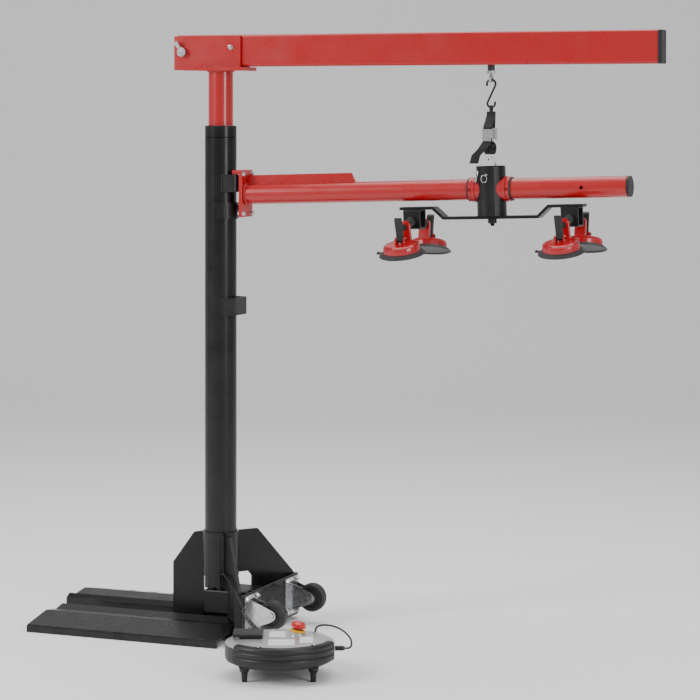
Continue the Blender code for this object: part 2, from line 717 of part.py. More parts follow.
cheek_face = BEAM_WIDTH / 2 + CHEEK_CLEARANCE
CHEEK_TOP = BEAM_BOTTOM + BEAM_HEIGHT - 0.003
PIVOT_Z = BEAM_BOTTOM + BEAM_HEIGHT / 2 - 0.003
cheek_line = [(CHEEK_BACK, HEAD_PLATE_BOTTOM + 0.002), (CHEEK_FRONT, HEAD_PLATE_BOTTOM + 0.002),
              (CHEEK_FRONT, CHEEK_TOP), (CHEEK_BACK, CHEEK_TOP)]
pivot_hole = circle((PIVOT_X, PIVOT_Z), PIVOT_BOLT_RADIUS + PIVOT_CLEARANCE)
cheeks = []
for side in (1.0, -1.0):
    cheek = outline("cheek", [cheek_line, pivot_hole], CHEEK_THICKNESS)
    cheeks.append(standing(cheek, side * (cheek_face + CHEEK_THICKNESS / 2)))
head_plate = boxes("head", ((HEAD_PLATE_BACK, -HEAD_PLATE_HALF_WIDTH, HEAD_PLATE_BOTTOM),
                            (CHEEK_FRONT + 0.015, HEAD_PLATE_HALF_WIDTH, HEAD_PLATE_TOP)))
beam_channel = joined("beam_channel", head_plate, *cheeks)
place(beam_channel, "red_paint", lift)

pivot = body_frame("beam_pivot", (PIVOT_X, 0.0, PIVOT_Z))


def rounded_rectangle(half_wide, low, high, radius, steps=3):
    corners = ((half_wide - radius, low + radius, -90.0), (half_wide - radius, high - radius, 0.0),
               (-half_wide + radius, high - radius, 90.0), (-half_wide + radius, low + radius, 180.0))
    return [point for y, z, start in corners for point in arc((y, z), radius, start, start + 90.0, steps)]


BEAM_TOP = BEAM_BOTTOM + BEAM_HEIGHT
section = [rounded_rectangle(BEAM_WIDTH / 2, BEAM_BOTTOM, BEAM_TOP, 0.006),
           rounded_rectangle(BEAM_WIDTH / 2 - BEAM_WALL, BEAM_BOTTOM + BEAM_WALL, BEAM_TOP - BEAM_WALL, 0.003)]
beam = outline("beam", section, BEAM_FRONT - BEAM_BACK)
beam.rotation_euler = (math.radians(90.0), 0.0, math.radians(90.0))
beam.location.x = (BEAM_FRONT + BEAM_BACK) / 2
beam = smooth(apply_place(mesh_of(beam)))
beam.data.transform(Matrix.Translation((-PIVOT_X, 0.0, -PIVOT_Z)))
bolt_cut = rods("bolt_clearance", ((0.0, -0.06, 0.0), (0.0, 0.06, 0.0), PIVOT_BOLT_RADIUS + PIVOT_CLEARANCE))
place(bolt_cut, None, pivot, cutters)
place(boolean(beam, bolt_cut), "red_paint", pivot)
cap = boxes("beam_end_cap", ((BEAM_FRONT + GAP, -BEAM_WIDTH / 2, BEAM_BOTTOM),
                             (BEAM_FRONT + CAP_THICKNESS, BEAM_WIDTH / 2, BEAM_TOP)))
cap.data.transform(Matrix.Translation((-PIVOT_X, 0.0, -PIVOT_Z)))
place(bevel(cap, 0.003, 2), "black_plastic", pivot)

clamp = body_frame("clamp_axis", (PIVOT_X, 0.0, PIVOT_Z))
bolt_side = cheek_face + CHEEK_THICKNESS + GAP
bolt_line = [(0.0, 0.0), (0.013, 0.0), (0.013, 0.013), (PIVOT_BOLT_RADIUS, 0.013),
             (PIVOT_BOLT_RADIUS, 0.013 + 2 * bolt_side), (0.012, 0.013 + 2 * bolt_side),
             (0.012, 0.022 + 2 * bolt_side), (0.0, 0.022 + 2 * bolt_side)]
bolt = lathe("clamp_lever", (bolt_line, (0.0, -bolt_side - 0.013, 0.0), (0.0, bolt_side, 0.0)), sides=24)
lean = math.radians(CLAMP_LEVER_ANGLE)
tip = Vector((math.cos(lean) * CLAMP_LEVER_LENGTH, -bolt_side - 0.016, math.sin(lean) * CLAMP_LEVER_LENGTH))
handle = rods("handle", ((0.0, -bolt_side - 0.0065, 0.0), tip, 0.0045, 0.0065))
place(joined("clamp_lever", bolt, handle), "steel", clamp)

# ---------------------------------------------------------------- hanging gear
NUT_BOTTOM = BEAM_BOTTOM - GAP - STEM_LENGTH - EYE_NUT_HEIGHT
RING_Z = NUT_BOTTOM - EYE_RING_RADIUS - EYE_WIRE_RADIUS + 0.0015
stem = rods("stem", ((HANG_X, 0.0, NUT_BOTTOM + 0.002), (HANG_X, 0.0, BEAM_BOTTOM - GAP), STEM_RADIUS))
nut = rods("nut", ((HANG_X, 0.0, NUT_BOTTOM), (HANG_X, 0.0, NUT_BOTTOM + EYE_NUT_HEIGHT), 0.0115), sides=6)
ring_points = [(HANG_X, y, RING_Z + z) for y, z in circle((0.0, 0.0), EYE_RING_RADIUS, 28)]
eye = tube_along("eye", ring_points, EYE_WIRE_RADIUS, 1, cyclic=True)
eye_bolt = joined("eye_bolt", stem, nut, eye)
eye_bolt.data.transform(Matrix.Translation((-PIVOT_X, 0.0, -PIVOT_Z)))
place(eye_bolt, "steel", pivot)

HOOK_Z = RING_Z - EYE_RING_RADIUS + EYE_WIRE_RADIUS + HOOK_WIRE_RADIUS + GAP - HOOK_UPPER_RADIUS
strap_hinge = body_frame("strap_hinge", (HANG_X, 0.0, HOOK_Z))
lower = -HOOK_CENTRES
route = arc((0.0, 0.0), HOOK_UPPER_RADIUS, 205.0, -10.0, 14)
route += arc((0.0, lower), HOOK_LOWER_RADIUS, 170.0, 385.0, 14)
s_hook = tube_along("s_hook", [(x, 0.0, z) for x, z in route], HOOK_WIRE_RADIUS, 2)
s_hook = smooth(mesh_of(s_hook))
place(s_hook, "black_paint", strap_hinge)

BUCKLE_TOP = 1.411 - HOOK_Z
BUCKLE_BOTTOM = 1.380 - HOOK_Z
STRAP_Y = -0.014
hook_bottom = lower - HOOK_LOWER_RADIUS
gap_round = HOOK_WIRE_RADIUS + GAP + WEBBING_THICKNESS / 2
behind = STRAP_Y - 0.014 - GAP - WEBBING_THICKNESS / 2
loop_line = [(-0.0010, hook_bottom - 0.0168), (-gap_round, hook_bottom - 0.0050)]
loop_line += arc((0.0, hook_bottom + 0.0009), gap_round, 180.0, 0.0, 8)
loop_line += [(gap_round, hook_bottom - 0.0050), (0.0014, hook_bottom - 0.0168)]
gathered = outline("loop", [ribbon(loop_line, WEBBING_THICKNESS)], 0.008)
gathered.rotation_euler = (math.radians(90.0), 0.0, math.radians(90.0))
rear = [(behind, BUCKLE_BOTTOM - 0.004), (behind, BUCKLE_TOP + 0.003), (-0.0005, hook_bottom - 0.020),
        (-0.0005, hook_bottom - 0.011)]
front = [(0.0008, hook_bottom - 0.0125), (0.0012, hook_bottom - 0.020), (STRAP_Y + 0.010, BUCKLE_TOP + GAP)]
roll = [(behind - 0.0006, BUCKLE_BOTTOM - 0.003), (STRAP_Y + 0.001, BUCKLE_BOTTOM - 0.0058)]
for i in range(34):
    turn_angle = math.radians(88.0 - 22.0 * i)
    radius = 0.0175 - 0.00040 * i
    roll.append((STRAP_Y + 0.003 + radius * 1.25 * math.cos(turn_angle),
                 BUCKLE_BOTTOM - 0.0250 + radius * math.sin(turn_angle)))
bands = [gathered]
for points, narrower in ((rear, 0.0), (front, 0.0006), (roll, 0.0010)):
    band = outline("band", [ribbon(points, WEBBING_THICKNESS)], WEBBING_WIDTH - narrower)
    band.rotation_euler = gathered.rotation_euler
    bands.append(band)
tail_end = STRAP_END - HOOK_Z
corners = []
for x, y, z in ((0.0, behind, BUCKLE_BOTTOM - 0.0025), (-0.010, -0.043, BUCKLE_BOTTOM - 0.024),
                (-0.030, -0.040, tail_end + 0.022), (-0.0395, -0.030, tail_end)):
    for side_x in (-WEBBING_WIDTH / 2, WEBBING_WIDTH / 2):
        for side_y in (-WEBBING_THICKNESS / 2, WEBBING_THICKNESS / 2):
            corners.append((x + side_x * 0.99, y + side_y, z))
faces = [(0, 1, 3, 2), (12, 14, 15, 13)]
for i in (0, 4, 8):
    faces += [(i, i + 4, i + 5, i + 1), (i + 1, i + 5, i + 7, i + 3), (i + 3, i + 7, i + 6, i + 2),
              (i + 2, i + 6, i + 4, i)]
tail_shape = bmesh.new()
points = [tail_shape.verts.new(corner) for corner in corners]
for face in faces:
    tail_shape.faces.new([points[i] for i in face])
bmesh.ops.recalc_face_normals(tail_shape, faces=tail_shape.faces)
bands.append(from_bmesh("tail", tail_shape))
place(joined("strap", *reversed(bands)), "webbing", strap_hinge)

buckle_body = boxes("buckle", ((-0.0165, STRAP_Y - 0.014, BUCKLE_BOTTOM), (0.0165, STRAP_Y + 0.013, BUCKLE_TOP)))
cam = rods("cam", ((-0.0150, STRAP_Y + 0.010, BUCKLE_BOTTOM + 0.012),
                   (0.0150, STRAP_Y + 0.010, BUCKLE_BOTTOM + 0.012), 0.008))
thumb = boxes("thumb", ((-0.010, STRAP_Y + 0.010, BUCKLE_BOTTOM + 0.010),
                        (0.010, STRAP_Y + 0.0235, BUCKLE_BOTTOM + 0.0125)))
place(joined("buckle", buckle_body, cam, thumb), "steel", strap_hinge)

# ---------------------------------------------------------------- arm
PLATE_FRONT = PLATE_BACK + PLATE_THICKNESS
lip_front = HANGER_REACH - HANGER_THICKNESS - 0.0008
lip_back = lip_front - LIP_THICKNESS
tab_bottom = PLATE_TOP - TAB_THICKNESS
hook_line = [(PLATE_FRONT, PLATE_BOTTOM), (PLATE_FRONT, PLATE_TOP), (lip_back, PLATE_TOP), (lip_back, LIP_BOTTOM),
             (lip_front, LIP_BOTTOM), (lip_front, tab_bottom), (PLATE_BACK, tab_bottom),
             (PLATE_BACK, PLATE_BOTTOM)]
hook_plate = standing(outline("arm_hook_plate", [hook_line], 2 * PLATE_HALF_WIDTH))
hook_plate = apply_place(mesh_of(hook_plate))
lip_trims = boxes("lip_trims", ((0.040, -0.060, 1.20), (PLATE_BACK - 0.0005, -HANGER_HALF_WIDTH + 0.0065, 1.2815)),
                  ((0.040, HANGER_HALF_WIDTH - 0.0065, 1.20), (PLATE_BACK - 0.0005, 0.060, 1.2815)))
place(bevel(boolean(hook_plate, lip_trims), 0.0015, 1), "red_paint")

saddle_inner = MAST_RADIUS + 0.0005
saddle_outer = saddle_inner + SADDLE_THICKNESS
saddle_line = arc((0.0, 0.0), saddle_outer, -95.0, 95.0, 24) + arc((0.0, 0.0), saddle_inner, 95.0, -95.0, 24)
saddle = outline("arm_saddle", [saddle_line], SADDLE_TOP - SADDLE_BOTTOM)
saddle.location.z = (SADDLE_TOP + SADDLE_BOTTOM) / 2
middle = (SADDLE_TOP + SADDLE_BOTTOM) / 2 + 0.008
reach = PLATE_BACK - GAP - saddle_inner - 0.002
adjuster_line = [(0.0, 0.0), (ADJUSTER_RADIUS, 0.0), (ADJUSTER_RADIUS, reach - 0.008), (0.012, reach - 0.008),
                 (0.012, reach), (0.0, reach)]
adjuster = lathe("adjuster", (adjuster_line, (saddle_inner + 0.002, 0.0, middle), (PLATE_BACK, 0.0, middle)))
place(joined("arm_saddle", saddle, adjuster), "black_paint")

arm = body_frame("arm_axis", (0.0, 0.0, ARM_HEIGHT), (0.0, -ARM_RISE, 0.0))
slope = math.radians(ARM_RISE)
ARM_START = (PLATE_FRONT + GAP + ARM_RADIUS * math.sin(slope)) / math.cos(slope)
ARM_END = ARM_START + ARM_LENGTH


def along_x(obj):
    """Turns a mesh built about Z so that its axis lies along X."""
    obj.data.transform(Matrix.Rotation(math.radians(90.0), 4, "Y"))
    return obj


arm_inner = ARM_RADIUS - ARM_WALL
tube_line = [(ARM_RADIUS, ARM_END), (ARM_RADIUS, ARM_START), (arm_inner, ARM_START), (arm_inner, ARM_END)]
arm_tube = along_x(mesh_of(turned("arm_tube", tube_line, closed=True)))
hole_at = ARM_START + ARM_HOLE_AT
hole_cut = rods("arm_hole", ((hole_at, -0.05, 0.0), (hole_at, 0.05, 0.0), ARM_HOLE_RADIUS), sides=16)
place(hole_cut, None, arm, cutters)
boolean(arm_tube, hole_cut)
fin_low, fin_top = ARM_RADIUS - 0.0015, ARM_RADIUS + FIN_HEIGHT
fin_line = [(ARM_START + 0.001, fin_low), (ARM_START + FIN_LENGTH, fin_low),
            (ARM_START + FIN_LENGTH - 0.012, fin_top), (ARM_START + 0.0025, fin_top)]
fin = apply_place(mesh_of(standing(outline("arm_fin", [fin_line], FIN_THICKNESS))))
place(fin, None, arm, cutters)
place(boolean(arm_tube, fin, "UNION"), "red_paint", arm)
arm_cap = rods("arm_end_cap", ((ARM_END + GAP, 0.0, 0.0), (ARM_END + ARM_CAP_THICKNESS, 0.0, 0.0), ARM_RADIUS),
               sides=ROUND)
place(bevel(arm_cap, 0.002, 2), "black_plastic", arm)

# ---------------------------------------------------------------- carriage, hub and lock pin
HUB_X = ARM_START + HUB_AT
sleeve_end = HUB_RADIUS + 0.0075
carriage = body_frame("carriage_axis", (HUB_X, 0.0, 0.0), parent=arm)
collar_bore = ARM_RADIUS + BUSH_CLEARANCE
collar_profile = [(collar_bore, 0.0), (COLLAR_RADIUS, 0.0), (COLLAR_RADIUS, 0.010), (collar_bore, 0.010)]
for name, side in (("set_collar_inner", -1.0), ("set_collar_outer", 1.0)):
    start = side * (sleeve_end + GAP)
    collar = lathe(name, (collar_profile, (start, 0.0, 0.0), (start + side * 0.010, 0.0, 0.0)), sides=ROUND)
    place(bevel(collar, 0.001, 1), "red_paint", carriage)

hub = body_frame("hub_axis", (HUB_X, 0.0, 0.0), parent=arm)
bush_bore = ARM_RADIUS + BUSH_CLEARANCE
flange = HUB_RADIUS + GAP
bush_line = [(bush_bore, -sleeve_end), (BUSH_FLANGE_RADIUS, -sleeve_end), (BUSH_FLANGE_RADIUS, -flange),
             (BUSH_RADIUS, -flange), (BUSH_RADIUS, flange), (BUSH_FLANGE_RADIUS, flange),
             (BUSH_FLANGE_RADIUS, sleeve_end), (bush_bore, sleeve_end)]
place(lathe("hub_bush", (bush_line, (0.0, 0.0, 0.0), (1.0, 0.0, 0.0)), sides=ROUND), "red_paint", hub)

hub_inner = HUB_RADIUS - HUB_WALL
hub_line = [(hub_inner, HUB_TOP), (HUB_RADIUS - 0.001, HUB_TOP), (HUB_RADIUS, HUB_TOP - 0.001),
            (HUB_RADIUS, HUB_BOTTOM), (0.0, HUB_BOTTOM)]
hub_line = [(0.0, HUB_BOTTOM + HUB_FLOOR), (hub_inner, HUB_BOTTOM + HUB_FLOOR)] + hub_line
hub_tube = mesh_of(turned("hub_tube", hub_line))
hub_cut = rods("hub_hole", ((-0.06, 0.0, 0.0), (0.06, 0.0, 0.0), BUSH_RADIUS + GAP), sides=ROUND)
pin_cut = rods("pin_hole", ((0.0, -0.06, PIN_HEIGHT), (0.0, 0.06, PIN_HEIGHT), PIN_RADIUS + GAP))
swivel_cut = rods("swivel_hole", ((0.0, 0.0, -0.09), (0.0, 0.0, -0.05), SWIVEL_BOLT_RADIUS + 0.0005))
for cutter in (hub_cut, pin_cut, swivel_cut):
    place(cutter, None, hub, cutters)
    boolean(hub_tube, cutter)
place(hub_tube, "black_paint", hub)

pin_end = HUB_RADIUS + 0.012
pin_line = [(0.0, 0.0), (0.0075, 0.0), (0.0075, 0.008), (PIN_RADIUS, 0.008), (PIN_RADIUS, 2 * pin_end - 0.004),
            (PIN_RADIUS - 0.002, 2 * pin_end), (0.0, 2 * pin_end)]
pin = lathe("pin", (pin_line, (0.0, pin_end + 0.004, PIN_HEIGHT), (0.0, -pin_end, PIN_HEIGHT)))
bail = [(0.0, pin_end, PIN_HEIGHT), (-0.004, pin_end + 0.0075, 0.050), (-0.006, pin_end + 0.0065, 0.066),
        (-0.008, 0.046, 0.080), (-0.009, 0.030, BAIL_TOP - 0.003), (-0.009, 0.016, BAIL_TOP - 0.004),
        (-0.009, 0.008, BAIL_TOP - 0.012)]
bail = tube_along("bail", smooth_route(bail, 0.006), BAIL_WIRE_RADIUS, 1)
place(joined("lock_pin", pin, bail), "steel", hub)

# ---------------------------------------------------------------- suction frame
swivel = body_frame("swivel_axis", (HUB_X, 0.0, 0.0), parent=arm)
bar_line = [(-BAR_HALF_LENGTH, -BAR_END_DROP), (-BAR_RAMP_END, -BAR_END_DROP), (-BAR_INNER_HALF, -BAR_CENTRE_DROP),
            (BAR_INNER_HALF, -BAR_CENTRE_DROP), (BAR_RAMP_END, -BAR_END_DROP), (BAR_HALF_LENGTH, -BAR_END_DROP)]
bar = standing(outline("spreader_bar", [ribbon(bar_line, BAR_THICKNESS)], BAR_WIDTH))
bar_cut = rods("bar_hole", ((0.0, 0.0, -0.09), (0.0, 0.0, -0.06), SWIVEL_BOLT_RADIUS + GAP))
place(bar_cut, None, swivel, cutters)

hub_floor_top = HUB_BOTTOM + HUB_FLOOR
bar_under = -BAR_CENTRE_DROP - BAR_THICKNESS / 2
top_face = hub_floor_top + GAP + 0.007
length = top_face - (bar_under - GAP)
swivel_line = [(0.0, 0.0), (0.011, 0.0), (0.011, 0.007), (SWIVEL_BOLT_RADIUS, 0.007), (SWIVEL_BOLT_RADIUS, length),
               (0.012, length), (0.012, length + 0.012), (SWIVEL_BOLT_RADIUS, length + 0.012),
               (SWIVEL_BOLT_RADIUS - 0.001, length + 0.019), (0.0, length + 0.019)]
place(lathe("swivel_bolt", (swivel_line, (0.0, 0.0, top_face), (0.0, 0.0, -0.2))), "dark_steel", swivel)

bracket_top = -BAR_END_DROP - BAR_THICKNESS / 2 + 0.0023
half = BRACKET_SIZE / 2
bracket_section = [rounded_rectangle(half, bracket_top - BRACKET_HEIGHT, bracket_top, 0.0055, 2),
                   rounded_rectangle(half - BRACKET_WALL, bracket_top - BRACKET_HEIGHT + BRACKET_WALL,
                                     bracket_top - BRACKET_WALL, 0.002, 2)]
tubes = []
for side in (BRACKET_AT, -BRACKET_AT):
    tube = outline("tube", bracket_section, BRACKET_SIZE)
    tube.rotation_euler = (math.radians(90.0), 0.0, math.radians(90.0))
    tube.location.x = side
    tubes.append(tube)
bar = joined("spreader_bar", bar, *tubes)
place(boolean(bar, bar_cut), "black_paint", swivel)

droop = math.radians(DROOP)
mount_y = half + GAP + MOUNT_RADIUS * math.sin(droop)
lug_y = mount_y + MOUNT_LENGTH * math.cos(droop)
lug_z = -MOUNT_DROP - MOUNT_LENGTH * math.sin(droop)
mount_line = [(0.0, 0.0), (MOUNT_RADIUS, 0.0), (MOUNT_RADIUS, 0.010), (0.0085, 0.016), (0.0085, 0.030),
              (MOUNT_RADIUS, MOUNT_LENGTH - 0.008), (MOUNT_RADIUS, MOUNT_LENGTH - GAP),
              (0.0055, MOUNT_LENGTH - GAP), (0.0055, MOUNT_LENGTH + LUG_THICKNESS + 0.001),
              (0.0, MOUNT_LENGTH + LUG_THICKNESS + 0.001)]
CUPS = (("a", -1.0, -1.0), ("b", 1.0, -1.0), ("c", -1.0, 1.0), ("d", 1.0, 1.0))
for tag, x, side in CUPS:
    start = Vector((x * BRACKET_AT, side * mount_y, -MOUNT_DROP))
    away = Vector((0.0, side * math.cos(droop), -math.sin(droop)))
    place(lathe(f"cup_mount_{tag}", (mount_line, start, start + away), sides=16), "rubber", swivel)

pad_line = [(0.0, PAD_HEIGHT), (0.050, PAD_HEIGHT), (0.056, PAD_HEIGHT - 0.002), (PAD_RADIUS, 0.0015),
            (PAD_RADIUS, 0.0), (PAD_RADIUS - 0.003, 0.0), (0.055, 0.0035), (0.0, 0.0035)]
pad = mesh_of(turned("pad", pad_line, 28))
body_low = PAD_HEIGHT + GAP
body_line = [(0.0, HEAD_TOP), (HEAD_RADIUS - 0.010, HEAD_TOP), (HEAD_RADIUS - 0.002, HEAD_TOP - 0.004),
             (HEAD_RADIUS, HEAD_TOP - 0.010), (HEAD_RADIUS, body_low), (0.0, body_low)]
lug_line = [(LUG_HALF_WIDTH, HEAD_TOP - 0.012)]
lug_line += arc((0.0, LUG_HOLE_HEIGHT), LUG_HALF_WIDTH, 0.0, 180.0, 10) + [(-LUG_HALF_WIDTH, HEAD_TOP - 0.012)]
lug_hole = circle((0.0, LUG_HOLE_HEIGHT), 0.0060, 14)
lug = standing(outline("lug", [lug_line, lug_hole], LUG_THICKNESS), LUG_FACE - LUG_THICKNESS / 2)
ears = []
ear_line = [(0.009, HEAD_TOP - 0.004)] + arc((0.0, LEVER_PIVOT_HEIGHT), 0.0075, 0.0, 180.0, 6)
ear_line += [(-0.009, HEAD_TOP - 0.004)]
for side in (1.0, -1.0):
    ear = outline("ear", [ear_line], EAR_THICKNESS)
    ear.rotation_euler = (math.radians(90.0), 0.0, math.radians(90.0))
    ear.location.x = side * (EAR_GAP / 2 + EAR_THICKNESS / 2)
    ears.append(ear)
ear_pin = rods("ear_pin", ((-0.0165, 0.0, LEVER_PIVOT_HEIGHT), (0.0165, 0.0, LEVER_PIVOT_HEIGHT), LEVER_PIN_RADIUS),
               sides=12)
head = joined("head", turned("body", body_line, 28), lug, *ears, ear_pin)
lever_half = LEVER_THICKNESS / 2
lever_line = arc((0.0, 0.0), lever_half + 0.001, -180.0, 0.0, 8)
lever_line += [(lever_half - 0.001, 0.020), (lever_half, LEVER_LENGTH - 0.006), (lever_half - 0.003, LEVER_LENGTH),
               (-lever_half + 0.002, LEVER_LENGTH), (-lever_half, LEVER_LENGTH - 0.006), (-lever_half + 0.001, 0.020)]
lever_hole = circle((0.0, 0.0), LEVER_PIN_RADIUS + GAP, 12)
lever = outline("lever", [lever_line, lever_hole], EAR_GAP - 0.0012)
lever.rotation_euler = (math.radians(90.0), 0.0, math.radians(90.0))
lever = smooth(apply_place(mesh_of(lever)))

head_y = lug_y + (LUG_HOLE_HEIGHT * math.sin(droop) - LUG_FACE * math.cos(droop)) * -1.0
head_z = lug_z - LUG_FACE * math.sin(droop) - LUG_HOLE_HEIGHT * math.cos(droop)
for tag, x, side in CUPS:
    facing = 0.0 if side < 0 else 180.0
    cup = body_frame(f"cup_{tag}", (x * BRACKET_AT, side * head_y, head_z), (DROOP, 0.0, facing), swivel)
    cup.rotation_euler = (Matrix.Rotation(math.radians(facing), 3, "Z")
                          @ Matrix.Rotation(droop, 3, "X")).to_euler()
    for piece, finish in ((pad, "rubber"), (head, "red_paint")):
        copy = bpy.data.objects.new(f"cup_{piece.name}_{tag}", piece.data.copy())
        place(smooth(copy, 30.0), finish, cup)
    hinge = body_frame(f"cup_hinge_{tag}", (0.0, 0.0, LEVER_PIVOT_HEIGHT), parent=cup)
    copy = bpy.data.objects.new(f"cup_lever_{tag}", lever.data.copy())
    place(copy, "black_plastic", hinge)
for template in (pad, head, lever):
    bpy.data.objects.remove(template, do_unlink=True)

# ---------------------------------------------------------------- floor control unit
unit = body_frame("unit_axis", (UNIT_X, UNIT_Y, 0.0), (0.0, 0.0, UNIT_TURN))
rim = UNIT_RIM
bowl_line = [(0.0, UNIT_BOTTOM + UNIT_WALL), (0.122, UNIT_BOTTOM + UNIT_WALL), (0.1360, UNIT_BOTTOM + 0.012),
             (UNIT_RADIUS - UNIT_WALL, rim), (UNIT_RADIUS, rim), (UNIT_RADIUS, UNIT_BOTTOM + 0.014),
             (UNIT_RADIUS - 0.003, UNIT_BOTTOM + 0.007), (UNIT_RADIUS - 0.017, UNIT_BOTTOM), (0.0, UNIT_BOTTOM)]
bowl = turned("control_housing", bowl_line, 44)
foot_specs = []
for x in (FOOT_X, -FOOT_X):
    for y in (FOOT_Y, -FOOT_Y):
        foot_specs.append(((x, y, 0.0), (x, y, UNIT_BOTTOM + UNIT_WALL / 2), FOOT_RADIUS, FOOT_RADIUS + 0.002))
place(joined("control_housing", bowl, rods("feet", *foot_specs, sides=16)), "black_plastic", unit)

top_low = UNIT_RIM + GAP
dome_line = [(0.0, 0.0970), (0.090, 0.0968), (0.120, 0.0950), (0.1325, 0.0915), (0.1405, 0.0875),
             (0.1415, 0.0868), (0.1415, top_low), (0.0, top_low)]
estop_up = Vector((math.sin(math.radians(ESTOP_LEAN)), 0.0, math.cos(math.radians(ESTOP_LEAN))))
estop_base = Vector((ESTOP_X, ESTOP_Y, 0.0955))
socket_profile = [(0.0, 0.0), (0.0210, 0.0), (0.0210, 0.010), (0.0195, 0.012), (0.0150, 0.014), (0.0, 0.014)]
estop_seat = lathe("seat", (socket_profile, estop_base - estop_up * 0.004, estop_base + estop_up), sides=28)
pedal_x, pedal_y = PEDAL_CENTRE
pedal_boss = boxes("boss", ((pedal_x - 0.026, pedal_y - 0.030, 0.0900), (pedal_x - 0.016, pedal_y + 0.030,
                                                                         PEDAL_HEIGHT - GAP)))
lead_boss = rods("lead_boss", ((0.091, 0.068, 0.090), (0.091, 0.068, 0.0987), 0.0065))
control_top = joined("control_top", turned("dome", dome_line, 44), estop_seat, pedal_boss, lead_boss)
stem_cut = rods("stem_hole", (estop_base - estop_up * 0.0055, estop_base + estop_up * 0.03, 0.0080))
place(stem_cut, None, unit, cutters)
place(boolean(control_top, stem_cut), "silver_plate", unit)

guard_line = [(UNIT_RADIUS + GAP, 0.0400 + 0.010), (GUARD_OUTER - 0.002, 0.0400 + 0.010), (GUARD_OUTER, 0.0540),
              (GUARD_OUTER, GUARD_TOP - 0.006), (GUARD_OUTER - 0.005, GUARD_TOP + 0.001),
              (0.1300, GUARD_TOP + 0.0015), (0.1300, GUARD_TOP - 0.0010), (UNIT_RADIUS - 0.004, GUARD_TOP - 0.0025),
              (UNIT_RADIUS + GAP, GUARD_TOP - 0.006)]
guard = lathe("control_guard", (guard_line, (0.0, 0.0, 0.0), (0.0, 0.0, 1.0), 39.0, 162.0), sides=30)
place(guard, "black_plastic", unit)

estop = body_frame("estop_axis", estop_base, (0.0, ESTOP_LEAN, 0.0), unit)
CAP_LOW = 0.0145 + 0.0045
button_line = [(0.0, 0.001), (0.0070, 0.001), (0.0070, CAP_LOW), (ESTOP_CAP_RADIUS - 0.001, CAP_LOW),
               (ESTOP_CAP_RADIUS, CAP_LOW + 0.003), (ESTOP_CAP_RADIUS - 0.001, CAP_LOW + 0.010),
               (ESTOP_CAP_RADIUS - 0.007, CAP_LOW + 0.015), (0.0, CAP_LOW + 0.017)]
button = lathe("estop_button", (button_line, (0.0, 0.0, 0.0), (0.0, 0.0, 1.0)), sides=28)
place(button, "red_plastic", estop)

pedal_hinge = body_frame("pedal_hinge", (pedal_x - 0.021, pedal_y, PEDAL_HEIGHT), parent=unit)
pedal = boxes("foot_pedal", ((-0.012, -0.040, 0.0), (0.066, 0.040, PEDAL_THICKNESS)))
place(bevel(pedal, 0.0025, 2), "grey_plastic", pedal_hinge)

base, tip = Vector(BOOT_BASE), Vector(BOOT_TIP)
boot_length = (tip - base).length
boot_line = [(0.0, 0.0), (BOOT_RADIUS, 0.0)]
for i in range(5):
    z = boot_length * (0.16 + 0.15 * i)
    radius = BOOT_RADIUS - 0.0005 * i
    boot_line += [(radius, z), (radius - 0.0015, z + 0.002), (radius - 0.0015, z + 0.005), (radius - 0.0005, z + 0.007)]
boot_line += [(0.0042, boot_length), (0.0, boot_length)]
boot = lathe("control_gland", (boot_line, base, tip), sides=18)
turn_unit = Matrix.Translation((UNIT_X, UNIT_Y, 0.0)) @ Matrix.Rotation(math.radians(UNIT_TURN), 4, "Z")
place(boot, "black_plastic", unit)

tip_world = turn_unit @ tip
away = (turn_unit.to_3x3() @ (tip - base)).normalized()
cable_points = [Vector(point) for point in CABLE_ROUTE]
cable_points += [tip_world + away * 0.010, tip_world + away * (GAP + 0.0001)]
cable = tube_along("control_cable", smooth_route(cable_points, 0.0075), CABLE_RADIUS, 2)
place(cable, "rubber")

lead_points = [turn_unit @ Vector(point) for point in LEAD_ROUTE]
place(tube_along("short_lead", smooth_route(lead_points, 0.006), LEAD_RADIUS, 2), "rubber")
plug_start = Vector(LEAD_ROUTE[-1])
plug_end = Vector((UNIT_RADIUS + GAP + 0.0003, plug_start.y * 0.2, plug_start.z))
plug_line = [(0.0, 0.0), (0.0045, 0.0), (0.0065, 0.006), (0.0065, (plug_end - plug_start).length - GAP),
             (0.0, (plug_end - plug_start).length - GAP)]
toward = (plug_end - plug_start).normalized()
plug = lathe("lead_plug", (plug_line, plug_start + toward * GAP, plug_end), sides=16)
place(plug, "black_plastic", unit)
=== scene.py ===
# %% [markdown]
# # A panel lift, dressed over its CAD frame
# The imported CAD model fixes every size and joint. This script gives it a camera, a studio,
# procedural finishes and the small pieces that the CAD leaves out: weld beads, bolts, screws and fittings.

# %% Load the frame
import json
import math

import bmesh
import bpy
from mathutils import Matrix, Vector


